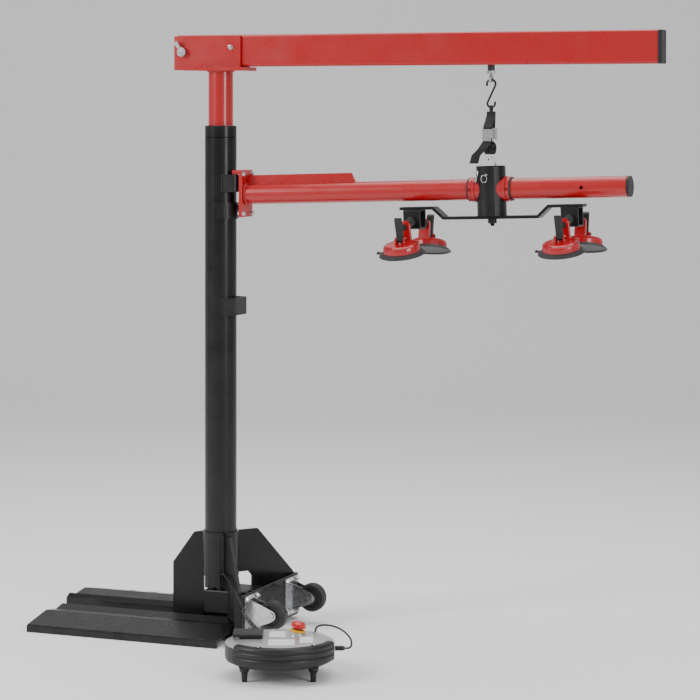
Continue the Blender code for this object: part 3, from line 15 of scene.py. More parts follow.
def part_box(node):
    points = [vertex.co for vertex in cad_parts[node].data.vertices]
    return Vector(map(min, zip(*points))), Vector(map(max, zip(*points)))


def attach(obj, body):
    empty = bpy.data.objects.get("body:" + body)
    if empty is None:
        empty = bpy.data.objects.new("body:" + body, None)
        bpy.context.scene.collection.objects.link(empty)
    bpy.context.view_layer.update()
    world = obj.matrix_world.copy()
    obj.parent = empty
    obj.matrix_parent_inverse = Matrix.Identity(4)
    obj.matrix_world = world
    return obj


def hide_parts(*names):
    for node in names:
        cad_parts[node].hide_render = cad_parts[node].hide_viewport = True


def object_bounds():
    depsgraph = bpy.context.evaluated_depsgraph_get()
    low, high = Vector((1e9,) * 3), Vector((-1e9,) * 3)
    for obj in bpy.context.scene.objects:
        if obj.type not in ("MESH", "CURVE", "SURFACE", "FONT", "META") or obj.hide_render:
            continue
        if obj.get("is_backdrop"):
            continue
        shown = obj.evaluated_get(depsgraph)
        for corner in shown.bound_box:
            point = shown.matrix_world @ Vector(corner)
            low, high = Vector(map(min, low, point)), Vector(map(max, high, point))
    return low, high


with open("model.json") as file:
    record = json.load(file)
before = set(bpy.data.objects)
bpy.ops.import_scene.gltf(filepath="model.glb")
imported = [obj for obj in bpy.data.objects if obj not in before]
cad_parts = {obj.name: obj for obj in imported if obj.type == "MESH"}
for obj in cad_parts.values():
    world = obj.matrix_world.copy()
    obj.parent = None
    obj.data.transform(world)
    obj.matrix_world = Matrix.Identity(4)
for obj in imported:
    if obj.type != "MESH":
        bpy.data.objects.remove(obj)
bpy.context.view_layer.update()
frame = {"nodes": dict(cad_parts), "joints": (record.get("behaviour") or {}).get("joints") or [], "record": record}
nodes = frame["nodes"]
joints = {joint["name"]: joint for joint in frame["joints"]}

# %% [markdown]
# ## Camera, floor and light
# A long lens stands well back and a little below the lifting beam, turned 22 degrees round the mast.
# It stays level, so the mast stands upright, and its view is shifted down to the floor.
# The floor runs up into a pale wall, and large soft lamps stand to the left, to the right and above.

# %% Camera
camera = bpy.data.objects.new("camera", bpy.data.cameras.new("camera"))
bpy.context.scene.collection.objects.link(camera)
bpy.context.scene.camera = camera
TURN = math.radians(22.2)
camera.location = (3.012, -6.413, 1.46)
camera.rotation_euler = (math.radians(90.0), 0.0, TURN)
SENSOR_MM = 36.0
FOCAL_LENGTHS, VIEW_DROP, FRAME_SIDE = 2500.0, 240.0, 700.0
camera.data.sensor_width = SENSOR_MM
camera.data.lens = SENSOR_MM * FOCAL_LENGTHS / FRAME_SIDE
camera.data.shift_y = -VIEW_DROP / FRAME_SIDE
camera.data.clip_start, camera.data.clip_end = 0.1, 100.0


# %% [markdown]
# ## Finishes
# Each finish is a Principled shader with its own grain. Patterns are sized in millimetres on the
# Object coordinates, so that they keep their scale on every piece.

# %% Material helpers
def linear(hex_colour):
    """A hex sRGB colour as the linear values that the shader takes."""
    values = [int(hex_colour[i:i + 2], 16) / 255 for i in (1, 3, 5)]
    return [v / 12.92 if v <= 0.04045 else ((v + 0.055) / 1.055) ** 2.4 for v in values] + [1.0]


def add(tree, kind, inputs=None, **settings):
    """Adds a shader node, sets its properties, and sets or links its inputs."""
    node = tree.nodes.new(kind)
    for key, value in settings.items():
        setattr(node, key, value)
    for key, value in (inputs or {}).items():
        if isinstance(value, bpy.types.NodeSocket):
            tree.links.new(value, node.inputs[key])
        else:
            node.inputs[key].default_value = value
    return node


def finish_material(name, colour, rough, metal=0.0, coat=0.0, grain_mm=0.0, grain_height_mm=0.0,
                    patch_mm=60.0, patch=0.0, rough_spread=0.06, wear=0.0, wear_colour="#8A8A8C",
                    stretch=(1.0, 1.0, 1.0), sheen=0.0, specular=0.5):
    """A Principled finish: patches of colour and gloss, a fine grain as bump, and worn edges."""
    material = bpy.data.materials.new(name)
    material.use_nodes = True
    tree = material.node_tree
    shader = tree.nodes["Principled BSDF"]
    shader.inputs["Metallic"].default_value = metal
    shader.inputs["Coat Weight"].default_value = coat
    shader.inputs["Coat Roughness"].default_value = 0.08
    shader.inputs["Sheen Weight"].default_value = sheen
    shader.inputs["Specular IOR Level"].default_value = specular
    place = add(tree, "ShaderNodeTexCoord")
    scaled = add(tree, "ShaderNodeMapping", {"Vector": place.outputs["Object"], "Scale": stretch})
    where = scaled.outputs["Vector"]
    patches = add(tree, "ShaderNodeTexNoise", {"Vector": where, "Scale": 1000.0 / patch_mm, "Detail": 4.0})
    tint = add(tree, "ShaderNodeMapRange", {"Value": patches.outputs["Fac"], "From Min": 0.35,
                                            "From Max": 0.7, "To Min": 0.0, "To Max": patch})
    darker = [c * 0.55 for c in linear(colour)[:3]] + [1.0]
    mixed = add(tree, "ShaderNodeMix", {"Factor": tint.outputs["Result"], "A": linear(colour), "B": darker},
                data_type="RGBA")
    colour_out = mixed.outputs["Result"]
    if wear:
        edge = add(tree, "ShaderNodeNewGeometry")
        worn = add(tree, "ShaderNodeMapRange", {"Value": edge.outputs["Pointiness"], "From Min": 0.54,
                                                "From Max": 0.62, "To Min": 0.0, "To Max": wear})
        spots = add(tree, "ShaderNodeMath", {0: worn.outputs["Result"], 1: patches.outputs["Fac"]},
                    operation="MULTIPLY")
        mixed = add(tree, "ShaderNodeMix", {"Factor": spots.outputs["Value"], "A": colour_out,
                                            "B": linear(wear_colour)}, data_type="RGBA")
        colour_out = mixed.outputs["Result"]
    tree.links.new(colour_out, shader.inputs["Base Color"])
    gloss = add(tree, "ShaderNodeMapRange", {"Value": patches.outputs["Fac"], "From Min": 0.3,
                                             "From Max": 0.7, "To Min": rough - rough_spread,
                                             "To Max": rough + rough_spread})
    tree.links.new(gloss.outputs["Result"], shader.inputs["Roughness"])
    if grain_mm:
        grain = add(tree, "ShaderNodeTexNoise", {"Vector": where, "Scale": 1000.0 / grain_mm, "Detail": 2.0})
        bump = add(tree, "ShaderNodeBump", {"Height": grain.outputs["Fac"], "Strength": 1.0,
                                            "Distance": grain_height_mm / 1000.0})
        tree.links.new(bump.outputs["Normal"], shader.inputs["Normal"])
    return material


# %% Finishes
FINISH = {
    "black_paint": finish_material("black_powder_coat", "#060607", 0.30, grain_mm=1.2, grain_height_mm=0.02,
                                   patch=0.2, wear=0.08, specular=0.32),
    "red_paint": finish_material("red_enamel", "#A3000A", 0.30, coat=0.25, grain_mm=3.0, grain_height_mm=0.03,
                                 patch=0.12, wear=0.08, wear_colour="#C0453C"),
    "red_cup": finish_material("red_moulded_cup", "#A8000C", 0.30, coat=0.25, grain_mm=2.0,
                               grain_height_mm=0.02, patch=0.15),
    "zinc_steel": finish_material("bright_zinc", "#C9CACC", 0.24, metal=1.0, grain_mm=0.6,
                                  grain_height_mm=0.008, patch=0.30, rough_spread=0.10, patch_mm=14.0),
    "dark_steel": finish_material("black_oxide_steel", "#1E1E20", 0.36, metal=1.0, grain_mm=0.8,
                                  grain_height_mm=0.01, patch=0.3, wear=0.4),
    "drive_black": finish_material("cast_black", "#070708", 0.38, grain_mm=0.9, grain_height_mm=0.05,
                                   patch=0.3, wear=0.08, specular=0.35),
    "black_plastic": finish_material("black_moulded_plastic", "#0D0D0E", 0.44, grain_mm=0.5,
                                     grain_height_mm=0.025, patch=0.2),
    "grey_plastic": finish_material("dark_grey_plastic", "#161617", 0.48, grain_mm=0.5, grain_height_mm=0.03,
                                    patch=0.2),
    "red_plastic": finish_material("red_gloss_plastic", "#C00810", 0.26, coat=0.3, grain_mm=1.5,
                                   grain_height_mm=0.01, patch=0.1),
    "wheel_black": finish_material("wheel_rubber", "#1A1A1C", 0.55, grain_mm=0.7, grain_height_mm=0.03,
                                   patch=0.25),
    "black_rubber": finish_material("cup_rubber", "#101011", 0.62, grain_mm=0.5, grain_height_mm=0.02,
                                    patch=0.3, sheen=0.1),
    "cord_rubber": finish_material("cable_sheath", "#0B0B0C", 0.50, grain_mm=0.5, grain_height_mm=0.015,
                                   patch=0.2),
    "silver_top": finish_material("brushed_silver", "#C6C8CB", 0.34, metal=0.75, grain_mm=0.5,
                                  grain_height_mm=0.012, patch=0.12, patch_mm=40.0, stretch=(1.0, 14.0, 1.0)),
    "white_panel": finish_material("white_panel", "#E4E5E6", 0.42, grain_mm=0.8, grain_height_mm=0.01,
                                   patch=0.06),
    "yellow_collar": finish_material("yellow_plastic", "#D8A412", 0.4, grain_mm=0.8, grain_height_mm=0.01,
                                     patch=0.1),
    "weld": finish_material("painted_weld", "#1C1C1E", 0.40, grain_mm=1.0, grain_height_mm=0.08, patch=0.3),
    "red_weld": finish_material("painted_red_weld", "#A81119", 0.34, coat=0.3, grain_mm=1.0,
                                grain_height_mm=0.06, patch=0.3),
}


def webbing_material():
    """Woven strap: fine ribs across the band and a soft, dull yarn."""
    material = finish_material("woven_webbing", "#09090A", 0.80, patch=0.3, patch_mm=8.0, sheen=0.1)
    tree = material.node_tree
    place = add(tree, "ShaderNodeTexCoord")
    weave = add(tree, "ShaderNodeTexWave", {"Vector": place.outputs["Object"], "Scale": 260.0,
                                            "Distortion": 0.6}, bands_direction="Z")
    yarn = add(tree, "ShaderNodeTexWave", {"Vector": place.outputs["Object"], "Scale": 190.0,
                                           "Distortion": 0.3}, bands_direction="Y")
    both = add(tree, "ShaderNodeMath", {0: weave.outputs["Fac"], 1: yarn.outputs["Fac"]},
               operation="MULTIPLY")
    bump = add(tree, "ShaderNodeBump", {"Height": both.outputs["Value"], "Strength": 1.0, "Distance": 0.0004})
    tree.links.new(bump.outputs["Normal"], tree.nodes["Principled BSDF"].inputs["Normal"])
    return material


FINISH["webbing"] = webbing_material()
print("finishes", len(FINISH))

# %% [markdown]
# ## Studio
# The floor and the wall are one pale sweep.

# %% Studio
def studio_material():
    material = bpy.data.materials.new("pale_floor")
    material.use_nodes = True
    tree = material.node_tree
    shader = tree.nodes["Principled BSDF"]
    shader.inputs["Base Color"].default_value = linear("#F1F1F1")
    place = add(tree, "ShaderNodeTexCoord")
    noise = add(tree, "ShaderNodeTexNoise", {"Vector": place.outputs["Object"], "Scale": 3.0, "Detail": 3.0})
    rough = add(tree, "ShaderNodeMapRange", {"Value": noise.outputs["Fac"], "To Min": 0.70, "To Max": 0.85})
    tree.links.new(rough.outputs["Result"], shader.inputs["Roughness"])
    return material


across, away = Vector((math.cos(TURN), math.sin(TURN), 0.0)), Vector((-math.sin(TURN), math.cos(TURN), 0.0))
profile = [(-9.0, 0.0), (5.0, 0.0)]
bend_steps = [math.radians(9 * i) for i in range(1, 11)]
profile += [(5.0 + 3.0 * math.sin(a), 3.0 - 3.0 * math.cos(a)) for a in bend_steps]
profile += [(8.0, 9.0)]
sweep_mesh = bpy.data.meshes.new("studio_sweep")
sweep_points = [away * distance + across * side + Vector((0.0, 0.0, height))
                for distance, height in profile for side in (-11.0, 11.0)]
sweep_faces = [(2 * i, 2 * i + 1, 2 * i + 3, 2 * i + 2) for i in range(len(profile) - 1)]
sweep_mesh.from_pydata(sweep_points, [], sweep_faces)
sweep_mesh.shade_smooth()
sweep = bpy.data.objects.new("studio_sweep", sweep_mesh)
sweep_mesh.materials.append(studio_material())
bpy.context.scene.collection.objects.link(sweep)
sweep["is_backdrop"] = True

world = bpy.data.worlds.new("studio_world")
bpy.context.scene.world = world
world.use_nodes = True
world.node_tree.nodes["Background"].inputs["Color"].default_value = (1.0, 1.0, 1.0, 1.0)
world.node_tree.nodes["Background"].inputs["Strength"].default_value = 0.55


def lamp(name, location, target, size, power):
    data = bpy.data.lights.new(name, "AREA")
    data.shape = "RECTANGLE"
    data.size, data.size_y = size
    data.energy = power
    obj = bpy.data.objects.new(name, data)
    obj.location = location
    obj.rotation_mode = "QUATERNION"
    obj.rotation_quaternion = (Vector(target) - Vector(location)).to_track_quat("-Z", "Y")
    bpy.context.scene.collection.objects.link(obj)
    return obj


lamp("key_left", (-3.2, -3.6, 3.4), (0.2, 0.0, 0.9), (1.6, 2.6), 230.0)
lamp("fill_right", (4.6, -2.2, 2.4), (0.4, 0.0, 0.9), (1.2, 3.0), 110.0)
lamp("top_soft", (0.5, 0.6, 4.2), (0.3, 0.0, 0.5), (3.2, 3.2), 120.0)

# %% [markdown]
# ## Shape helpers
# Pieces are built in row-frame metres, so that each finished object sits at the origin.

# %% Helpers
def arm_frame():
    """The axes of the inclined arm, at the hub's centre, from the joints."""
    along = Vector(joints["hub_slide"]["axis"]).normalized()
    side = Vector((0.0, 1.0, 0.0))
    up = along.cross(side).normalized()
    centre = Vector(joints["hub_roll"]["pos_m"])
    turn = Matrix((along, side, up)).transposed().to_4x4()
    return Matrix.Translation(centre) @ turn


def frame_on(origin, axis):
    """A matrix whose Z runs along an axis."""
    return Matrix.Translation(Vector(origin)) @ Vector(axis).to_track_quat("Z", "Y").to_matrix().to_4x4()


def finish_piece(name, shape, finish, body, angle=32.0, edge=0.0, stands_for=()):
    """Turns a bmesh into a finished piece that rides on a body."""
    bmesh.ops.recalc_face_normals(shape, faces=shape.faces)
    mesh = bpy.data.meshes.new(name)
    shape.to_mesh(mesh)
    shape.free()
    mesh.shade_smooth()
    mesh.set_sharp_from_angle(angle=math.radians(angle))
    obj = bpy.data.objects.new(name, mesh)
    bpy.context.scene.collection.objects.link(obj)
    mesh.materials.append(FINISH[finish])
    if edge:
        soften(obj, edge)
    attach(obj, body)
    if stands_for:
        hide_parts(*stands_for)
    return obj


def soften(obj, width, segments=2):
    bevel = obj.modifiers.new("soft edges", "BEVEL")
    bevel.width = width
    bevel.segments = segments
    bevel.limit_method = "ANGLE"
    bevel.angle_limit = math.radians(38.0)
    bevel.harden_normals = True
    bevel.use_clamp_overlap = True


def lathe(shape, profile, where, sides=48):
    """Adds a solid turned about the matrix's Z. Its profile holds (radius, height) all round the section."""
    rows = []
    for i in range(sides):
        angle = 2.0 * math.pi * i / sides
        row = []
        for j, (radius, height) in enumerate(profile):
            if radius == 0.0 and rows:
                row.append(rows[0][j])
            else:
                point = Vector((radius * math.cos(angle), radius * math.sin(angle), height))
                row.append(shape.verts.new(where @ point))
        rows.append(row)
    around = len(profile)
    for i in range(sides):
        k = (i + 1) % sides
        for j in range(around):
            n = (j + 1) % around
            corners = list(dict.fromkeys((rows[i][j], rows[k][j], rows[k][n], rows[i][n])))
            if len(corners) > 2:
                shape.faces.new(corners)


def rounded(profile, radius, steps=3):
    """A profile with its corners rounded, except on the axis."""
    result = []
    count = len(profile)
    for i, point in enumerate(profile):
        here = Vector(point)
        before, after = Vector(profile[i - 1]) - here, Vector(profile[(i + 1) % count]) - here
        if point[0] == 0.0 or before.length < 1e-7 or after.length < 1e-7:
            result.append(tuple(here))
            continue
        reach = min(radius, before.length * 0.45, after.length * 0.45)
        start, end = here + before.normalized() * reach, here + after.normalized() * reach
        for step in range(steps + 1):
            t = step / steps
            result.append(tuple(start * (1 - t) ** 2 + here * 2 * t * (1 - t) + end * t ** 2))
    return result


def turned(shape, profile, corner, where, sides=48):
    """A turned solid whose profile has its corners rounded first."""
    lathe(shape, rounded(profile, corner), where, sides)


def block(shape, low, high, where=Matrix.Identity(4)):
    low, high = Vector(low), Vector(high)
    size = Matrix.Diagonal((*(high - low), 1.0))
    bmesh.ops.create_cube(shape, size=1.0, matrix=where @ Matrix.Translation((low + high) / 2) @ size)


def hex_bolt(shape, where, across_flats, head, washer=0.0, stud=0.0):
    """A hexagon head with a chamfered top, on a washer, with the end of its stud beyond it."""
    radius = across_flats / 2 / math.cos(math.radians(30))
    z = 0.0
    if washer:
        turned(shape, [(0.0, 0.0), (radius * 1.25, 0.0), (radius * 1.25, washer), (0.0, washer)], 0.0004,
               where, 32)
        z = washer
    rows = []
    for reach, height in ((radius, z), (radius, z + head * 0.82), (radius * 0.84, z + head)):
        rows.append([shape.verts.new(where @ Vector((reach * math.cos(a), reach * math.sin(a), height)))
                     for a in [math.radians(60 * i) for i in range(6)]])
    for low, high in zip(rows, rows[1:]):
        for i in range(6):
            shape.faces.new((low[i], low[(i + 1) % 6], high[(i + 1) % 6], high[i]))
    shape.faces.new(rows[0][::-1])
    shape.faces.new(rows[-1])
    if stud:
        turned(shape, [(0.0, z), (radius * 0.5, z), (radius * 0.5, z + head + stud), (0.0, z + head + stud)],
               0.0006, where, 20)


def pan_screw(shape, where, radius):
    """A domed screw head with a cross recess."""
    turned(shape, [(0.0, 0.0), (radius, 0.0), (radius, radius * 0.25), (radius * 0.55, radius * 0.5),
                   (radius * 0.5, radius * 0.32), (0.0, radius * 0.30)], radius * 0.12, where, 24)
    for turn in (0.0, 90.0):
        slot_place = where @ Matrix.Rotation(math.radians(turn), 4, "Z")
        block(shape, (-radius * 0.42, -radius * 0.09, radius * 0.28),
              (radius * 0.42, radius * 0.09, radius * 0.36), slot_place)


def tube(name, points, radius, finish, body, rounds=4, cyclic=False, stands_for=()):
    """A round wire or tube along points, as a plain mesh."""
    curve = bpy.data.curves.new(name, "CURVE")
    curve.dimensions = "3D"
    curve.bevel_depth = radius
    curve.bevel_resolution = rounds
    curve.use_fill_caps = not cyclic
    spline = curve.splines.new("POLY")
    spline.points.add(len(points) - 1)
    for knot, point in zip(spline.points, points):
        knot.co = (*point, 1.0)
    spline.use_cyclic_u = cyclic
    loose = bpy.data.objects.new(name, curve)
    bpy.context.scene.collection.objects.link(loose)
    graph = bpy.context.evaluated_depsgraph_get()
    mesh = bpy.data.meshes.new_from_object(loose.evaluated_get(graph))
    bpy.data.objects.remove(loose, do_unlink=True)
    mesh.name = name
    mesh.shade_smooth()
    mesh.set_sharp_from_angle(angle=math.radians(50))
    obj = bpy.data.objects.new(name, mesh)
    bpy.context.scene.collection.objects.link(obj)
    mesh.materials.clear()
    mesh.materials.append(FINISH[finish])
    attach(obj, body)
    if stands_for:
        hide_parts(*stands_for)
    return obj


def smooth_route(points, spacing):
    """Evenly spaced points on a smooth curve through a route."""
    knots = [Vector(point) for point in points]
    ends = [2 * knots[0] - knots[1]] + knots + [2 * knots[-1] - knots[-2]]
    fine = []
    for before, start, end, after in zip(ends, ends[1:], ends[2:], ends[3:]):
        for step in range(20):
            t = step / 20
            fine.append(0.5 * (2 * start + (end - before) * t
                               + (2 * before - 5 * start + 4 * end - after) * t ** 2
                               + (3 * start - before - 3 * end + after) * t ** 3))
    fine.append(knots[-1])
    length = sum((b - a).length for a, b in zip(fine, fine[1:]))
    count = max(2, round(length / spacing))
    wanted = [length * i / count for i in range(count)]
    route, travelled = [], 0.0
    for a, b in zip(fine, fine[1:]):
        step = (b - a).length
        while wanted and wanted[0] <= travelled + step:
            route.append(a.lerp(b, (wanted.pop(0) - travelled) / step))
        travelled += step
    return route + [knots[-1]]


def length_of(points):
    return sum((b - a).length for a, b in zip(points, points[1:]))


ARM = arm_frame()
UNIT_AXIS = Vector(joints["pedal_press"]["axis"])
UNIT_X = Vector((UNIT_AXIS.y, -UNIT_AXIS.x, 0.0))
low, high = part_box("control_housing")
UNIT = Matrix.Translation(((low.x + high.x) / 2, (low.y + high.y) / 2, 0.0))
UNIT = UNIT @ Matrix((UNIT_X, UNIT_AXIS, Vector((0.0, 0.0, 1.0)))).transposed().to_4x4()
print("arm frame", ARM.translation[:], "unit", UNIT.translation[:])

# %% [markdown]
# ## Cords
# The control cable leaves a gland on the drive housing, runs beside the near gusset, past the end of the
# cross plate, and into the boot of the floor unit. The short lead loops from the unit's top to its side.

# %% Cords
CABLE_ROUTE = (
    (0.0220, -0.0525, 0.1263), (0.0225, -0.0530, 0.1400), (0.0260, -0.0580, 0.1530),
    (0.0360, -0.0700, 0.1610), (0.0520, -0.0880, 0.1630), (0.0740, -0.1140, 0.1580),
    (0.0980, -0.1450, 0.1510), (0.1220, -0.1770, 0.1430), (0.1445, -0.2075, 0.1355),
    (0.1600, -0.2280, 0.1290), (0.1750, -0.2480, 0.1240), (0.1900, -0.2700, 0.1205),
    (0.2030, -0.2930, 0.1195), (0.2135, -0.3160, 0.1205), (0.2220, -0.3390, 0.1235),
    (0.2300, -0.3560, 0.1245),
)
LEAD_ROUTE = (
    (0.0910, 0.0680, 0.0990), (0.0915, 0.0680, 0.1040), (0.0950, 0.0680, 0.1105),
    (0.1030, 0.0680, 0.1145), (0.1150, 0.0675, 0.1160), (0.1300, 0.0660, 0.1150),
    (0.1450, 0.0630, 0.1115), (0.1590, 0.0580, 0.1060), (0.1710, 0.0500, 0.0985),
    (0.1800, 0.0400, 0.0905), (0.1850, 0.0290, 0.0830), (0.1855, 0.0180, 0.0765),
    (0.1835, 0.0080, 0.0720), (0.1795, 0.0015, 0.0703), (0.1745, 0.0000, 0.0700), (0.1690, 0.0000, 0.0700),
)
BOOT_BASE, BOOT_TIP = Vector((-0.0530, 0.1385, 0.074)), Vector((-0.097, 0.183, 0.116))
boot_away = (UNIT.to_3x3() @ (BOOT_TIP - BOOT_BASE)).normalized()
boot_tip = UNIT @ BOOT_TIP
cable_points = list(CABLE_ROUTE) + [boot_tip + boot_away * 0.010, boot_tip + boot_away * 0.0004]
cable_line = smooth_route(cable_points, 0.0060)
cable = tube("cable_sheath", cable_line, 0.003, "cord_rubber", "base", 4,
             stands_for=("control_cable",))
lead_line = smooth_route([UNIT @ Vector(point) for point in LEAD_ROUTE], 0.005)
lead = tube("lead_sheath", lead_line, 0.0025, "cord_rubber", "base", 4,
            stands_for=("short_lead",))
print("cable length", round(length_of(cable_line), 3), "lead length", round(length_of(lead_line), 3))

# %% [markdown]
# ## CAD nodes
# The CAD shapes stay. Each gets its finish and smooth shading where it is round, and those with a width in EDGE
# get softened edges.

# %% CAD nodes
slot_of = {row["node"]: row["material_slot"] for row in frame["record"]["subparts"]}
EDGE = {"fork_near": 1.6, "fork_far": 1.6, "floor_plate": 1.2, "cross_plate": 0.0, "mast_socket": 0.8,
        "hanger_lower": 0.8, "hanger_upper": 0.8, "drive_housing": 0.0, "beam_channel": 0.9,
        "arm_hook_plate": 0.0, "arm_saddle": 0.5, "spreader_bar": 0.6, "buckle": 0.7}
for name, node in nodes.items():
    slot = slot_of[name]
    node.data.materials.clear()
    node.data.materials.append(FINISH[slot])
    node.data.shade_smooth()
    node.data.set_sharp_from_angle(angle=math.radians(32))
    if EDGE.get(name):
        soften(node, EDGE[name] / 1000.0)
print("dressed nodes", len(nodes))

# %% [markdown]
# ## Weld beads
# A bead is a row of flattened drops along a seam, made by Geometry Nodes: small drops at even steps, each a
# little different in size and turn.

# %% Weld beads
def weld_tree():
    tree = bpy.data.node_groups.new("weld_bead", "GeometryNodeTree")
    face = tree.interface
    face.new_socket("Geometry", in_out="INPUT", socket_type="NodeSocketGeometry")
    for label, default in (("Step", 0.0024), ("Drop radius", 0.003)):
        socket = face.new_socket(label, in_out="INPUT", socket_type="NodeSocketFloat")
        socket.default_value = default
    face.new_socket("Finish", in_out="INPUT", socket_type="NodeSocketMaterial")
    face.new_socket("Geometry", in_out="OUTPUT", socket_type="NodeSocketGeometry")
    source, sink = tree.nodes.new("NodeGroupInput"), tree.nodes.new("NodeGroupOutput")
    to_curve = tree.nodes.new("GeometryNodeMeshToCurve")
    resample = tree.nodes.new("GeometryNodeResampleCurve")
    resample.mode = "LENGTH"
    drop = tree.nodes.new("GeometryNodeMeshIcoSphere")
    drop.inputs["Subdivisions"].default_value = 2
    scatter = tree.nodes.new("GeometryNodeInstanceOnPoints")
    turn = tree.nodes.new("FunctionNodeRandomValue")
    turn.data_type = "FLOAT_VECTOR"
    turn.inputs["Max"].default_value = (0.4, 0.4, 3.1)
    turn.inputs["Seed"].default_value = 3
    size = tree.nodes.new("FunctionNodeRandomValue")
    size.data_type = "FLOAT_VECTOR"
    size.inputs["Min"].default_value = (0.85, 0.85, 0.62)
    size.inputs["Max"].default_value = (1.15, 1.15, 0.82)
    size.inputs["Seed"].default_value = 11
    realize = tree.nodes.new("GeometryNodeRealizeInstances")
    paint = tree.nodes.new("GeometryNodeSetMaterial")
    link = tree.links.new
    link(source.outputs["Geometry"], to_curve.inputs["Mesh"])
    link(to_curve.outputs["Curve"], resample.inputs["Curve"])
    link(source.outputs["Step"], resample.inputs["Length"])
    link(source.outputs["Drop radius"], drop.inputs["Radius"])
    link(resample.outputs["Curve"], scatter.inputs["Points"])
    link(drop.outputs["Mesh"], scatter.inputs["Instance"])
    link(turn.outputs["Value"], scatter.inputs["Rotation"])
    link(size.outputs["Value"], scatter.inputs["Scale"])
    link(scatter.outputs["Instances"], realize.inputs["Geometry"])
    link(realize.outputs["Geometry"], paint.inputs["Geometry"])
    link(source.outputs["Finish"], paint.inputs["Material"])
    link(paint.outputs["Geometry"], sink.inputs["Geometry"])
    return tree


WELD = weld_tree()


def weld(name, lines, radius, finish, body, step=0.0024):
    """Lays a bead along each polyline."""
    shape = bmesh.new()
    for line in lines:
        row = [shape.verts.new(point) for point in line]
        for first, second in zip(row, row[1:]):
            shape.edges.new((first, second))
    mesh = bpy.data.meshes.new(name + "_seam")
    shape.to_mesh(mesh)
    shape.free()
    loose = bpy.data.objects.new(name, mesh)
    bpy.context.scene.collection.objects.link(loose)
    modifier = loose.modifiers.new("bead", "NODES")
    modifier.node_group = WELD
    values = {"Step": step, "Drop radius": radius, "Finish": FINISH[finish]}
    for item in WELD.interface.items_tree:
        if item.in_out == "INPUT" and item.name in values:
            modifier[item.identifier] = values[item.name]
    graph = bpy.context.evaluated_depsgraph_get()
    plain = bpy.data.meshes.new_from_object(loose.evaluated_get(graph))
    bpy.data.objects.remove(loose, do_unlink=True)
    plain.shade_smooth()
    obj = bpy.data.objects.new(name, plain)
    bpy.context.scene.collection.objects.link(obj)
    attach(obj, body)
    return obj


def circle_points(where, radius, first=0.0, last=360.0, steps=48):
    angles = [math.radians(first + (last - first) * i / steps) for i in range(steps + 1)]
    return [where @ Vector((radius * math.cos(a), radius * math.sin(a), 0.0)) for a in angles]


HUB_ALONG_ARM = 0.7258
on_arm = ARM @ Matrix.Translation((-HUB_ALONG_ARM, 0.0, 0.0))
fin_seams = []
for side in (1.0, -1.0):
    y, z = side * 0.0050, 0.0283
    for i in range(9):
        start = 0.006 + i * 0.037
        fin_seams.append([on_arm @ Vector((start, y, z)), on_arm @ Vector((min(start + 0.024, 0.326), y, z))])
weld("fin_weld", fin_seams, 0.0026, "red_weld", "base")
arm_foot = on_arm @ Matrix.Translation((0.0010, 0.0, 0.0)) @ Matrix.Rotation(math.radians(90), 4, "Y")
weld("arm_foot_weld", [circle_points(arm_foot, 0.0290)], 0.0030, "red_weld", "base")
head_place = Matrix.Translation((0.0, 0.0, 1.5692))
weld("head_weld", [circle_points(head_place, 0.0362)], 0.0028, "red_weld", "lift")
cheek_seams = [[Vector((x, side * 0.0335, 1.5812)), Vector((x + 0.028, side * 0.0335, 1.5812))]
               for side in (1.0, -1.0) for x in (-0.045, 0.000, 0.043)]
weld("cheek_weld", cheek_seams, 0.0022, "red_weld", "lift")
hanger_seams = []
for bottom in (0.883, 1.2295):
    for side in (1.0, -1.0):
        hanger_seams.append([Vector((0.0225, side * 0.0405, bottom + z)) for z in (0.003, 0.046)])
weld("hanger_weld", hanger_seams, 0.0024, "weld", "base")
gusset_seams = []
GUSSET_SPREAD = 51.5
for turn in (180.0, -GUSSET_SPREAD, GUSSET_SPREAD):
    out = Vector((math.cos(math.radians(turn)), math.sin(math.radians(turn)), 0.0))
    across = Vector((-out.y, out.x, 0.0))
    for side in (1.0, -1.0):
        gusset_seams.append([out * 0.0528 + across * side * 0.0052 + Vector((0.0, 0.0, z))
                             for z in (0.152, 0.262)])
weld("gusset_weld", gusset_seams, 0.0030, "weld", "base")
floor_seams = [[Vector((x, side * 0.0052, 0.0158)), Vector((x + 0.030, side * 0.0052, 0.0158))]
               for side in (1.0, -1.0) for x in (-0.145, -0.102, -0.060)]
weld("floor_weld", floor_seams, 0.0028, "weld", "base")
fork_seams = []
for start in (-0.430, -0.360, -0.290, -0.220, -0.150, -0.080, -0.010, 0.055):
    fork_seams.append([Vector((start, -0.2746, 0.0205)), Vector((start + 0.022, -0.2746, 0.0205))])
    fork_seams.append([Vector((start, 0.2746, 0.0205)), Vector((start + 0.022, 0.2746, 0.0205))])
weld("fork_weld", fork_seams, 0.0022, "weld", "base")
bracket_seams = []
for side in (-0.225, 0.225):
    for x in (side - 0.0246, side + 0.0246):
        bracket_seams.append([ARM @ Vector((x, y, -0.0523)) for y in (-0.018, 0.018)])
weld("bracket_weld", bracket_seams, 0.0020, "weld", "frame")
print("weld beads laid")

# %% [markdown]
# ## Bolts, screws and fittings
# The hook plate and each caster carry four bolts.
# Smaller ones hold the drive housing, the floor plate and the cheeks.

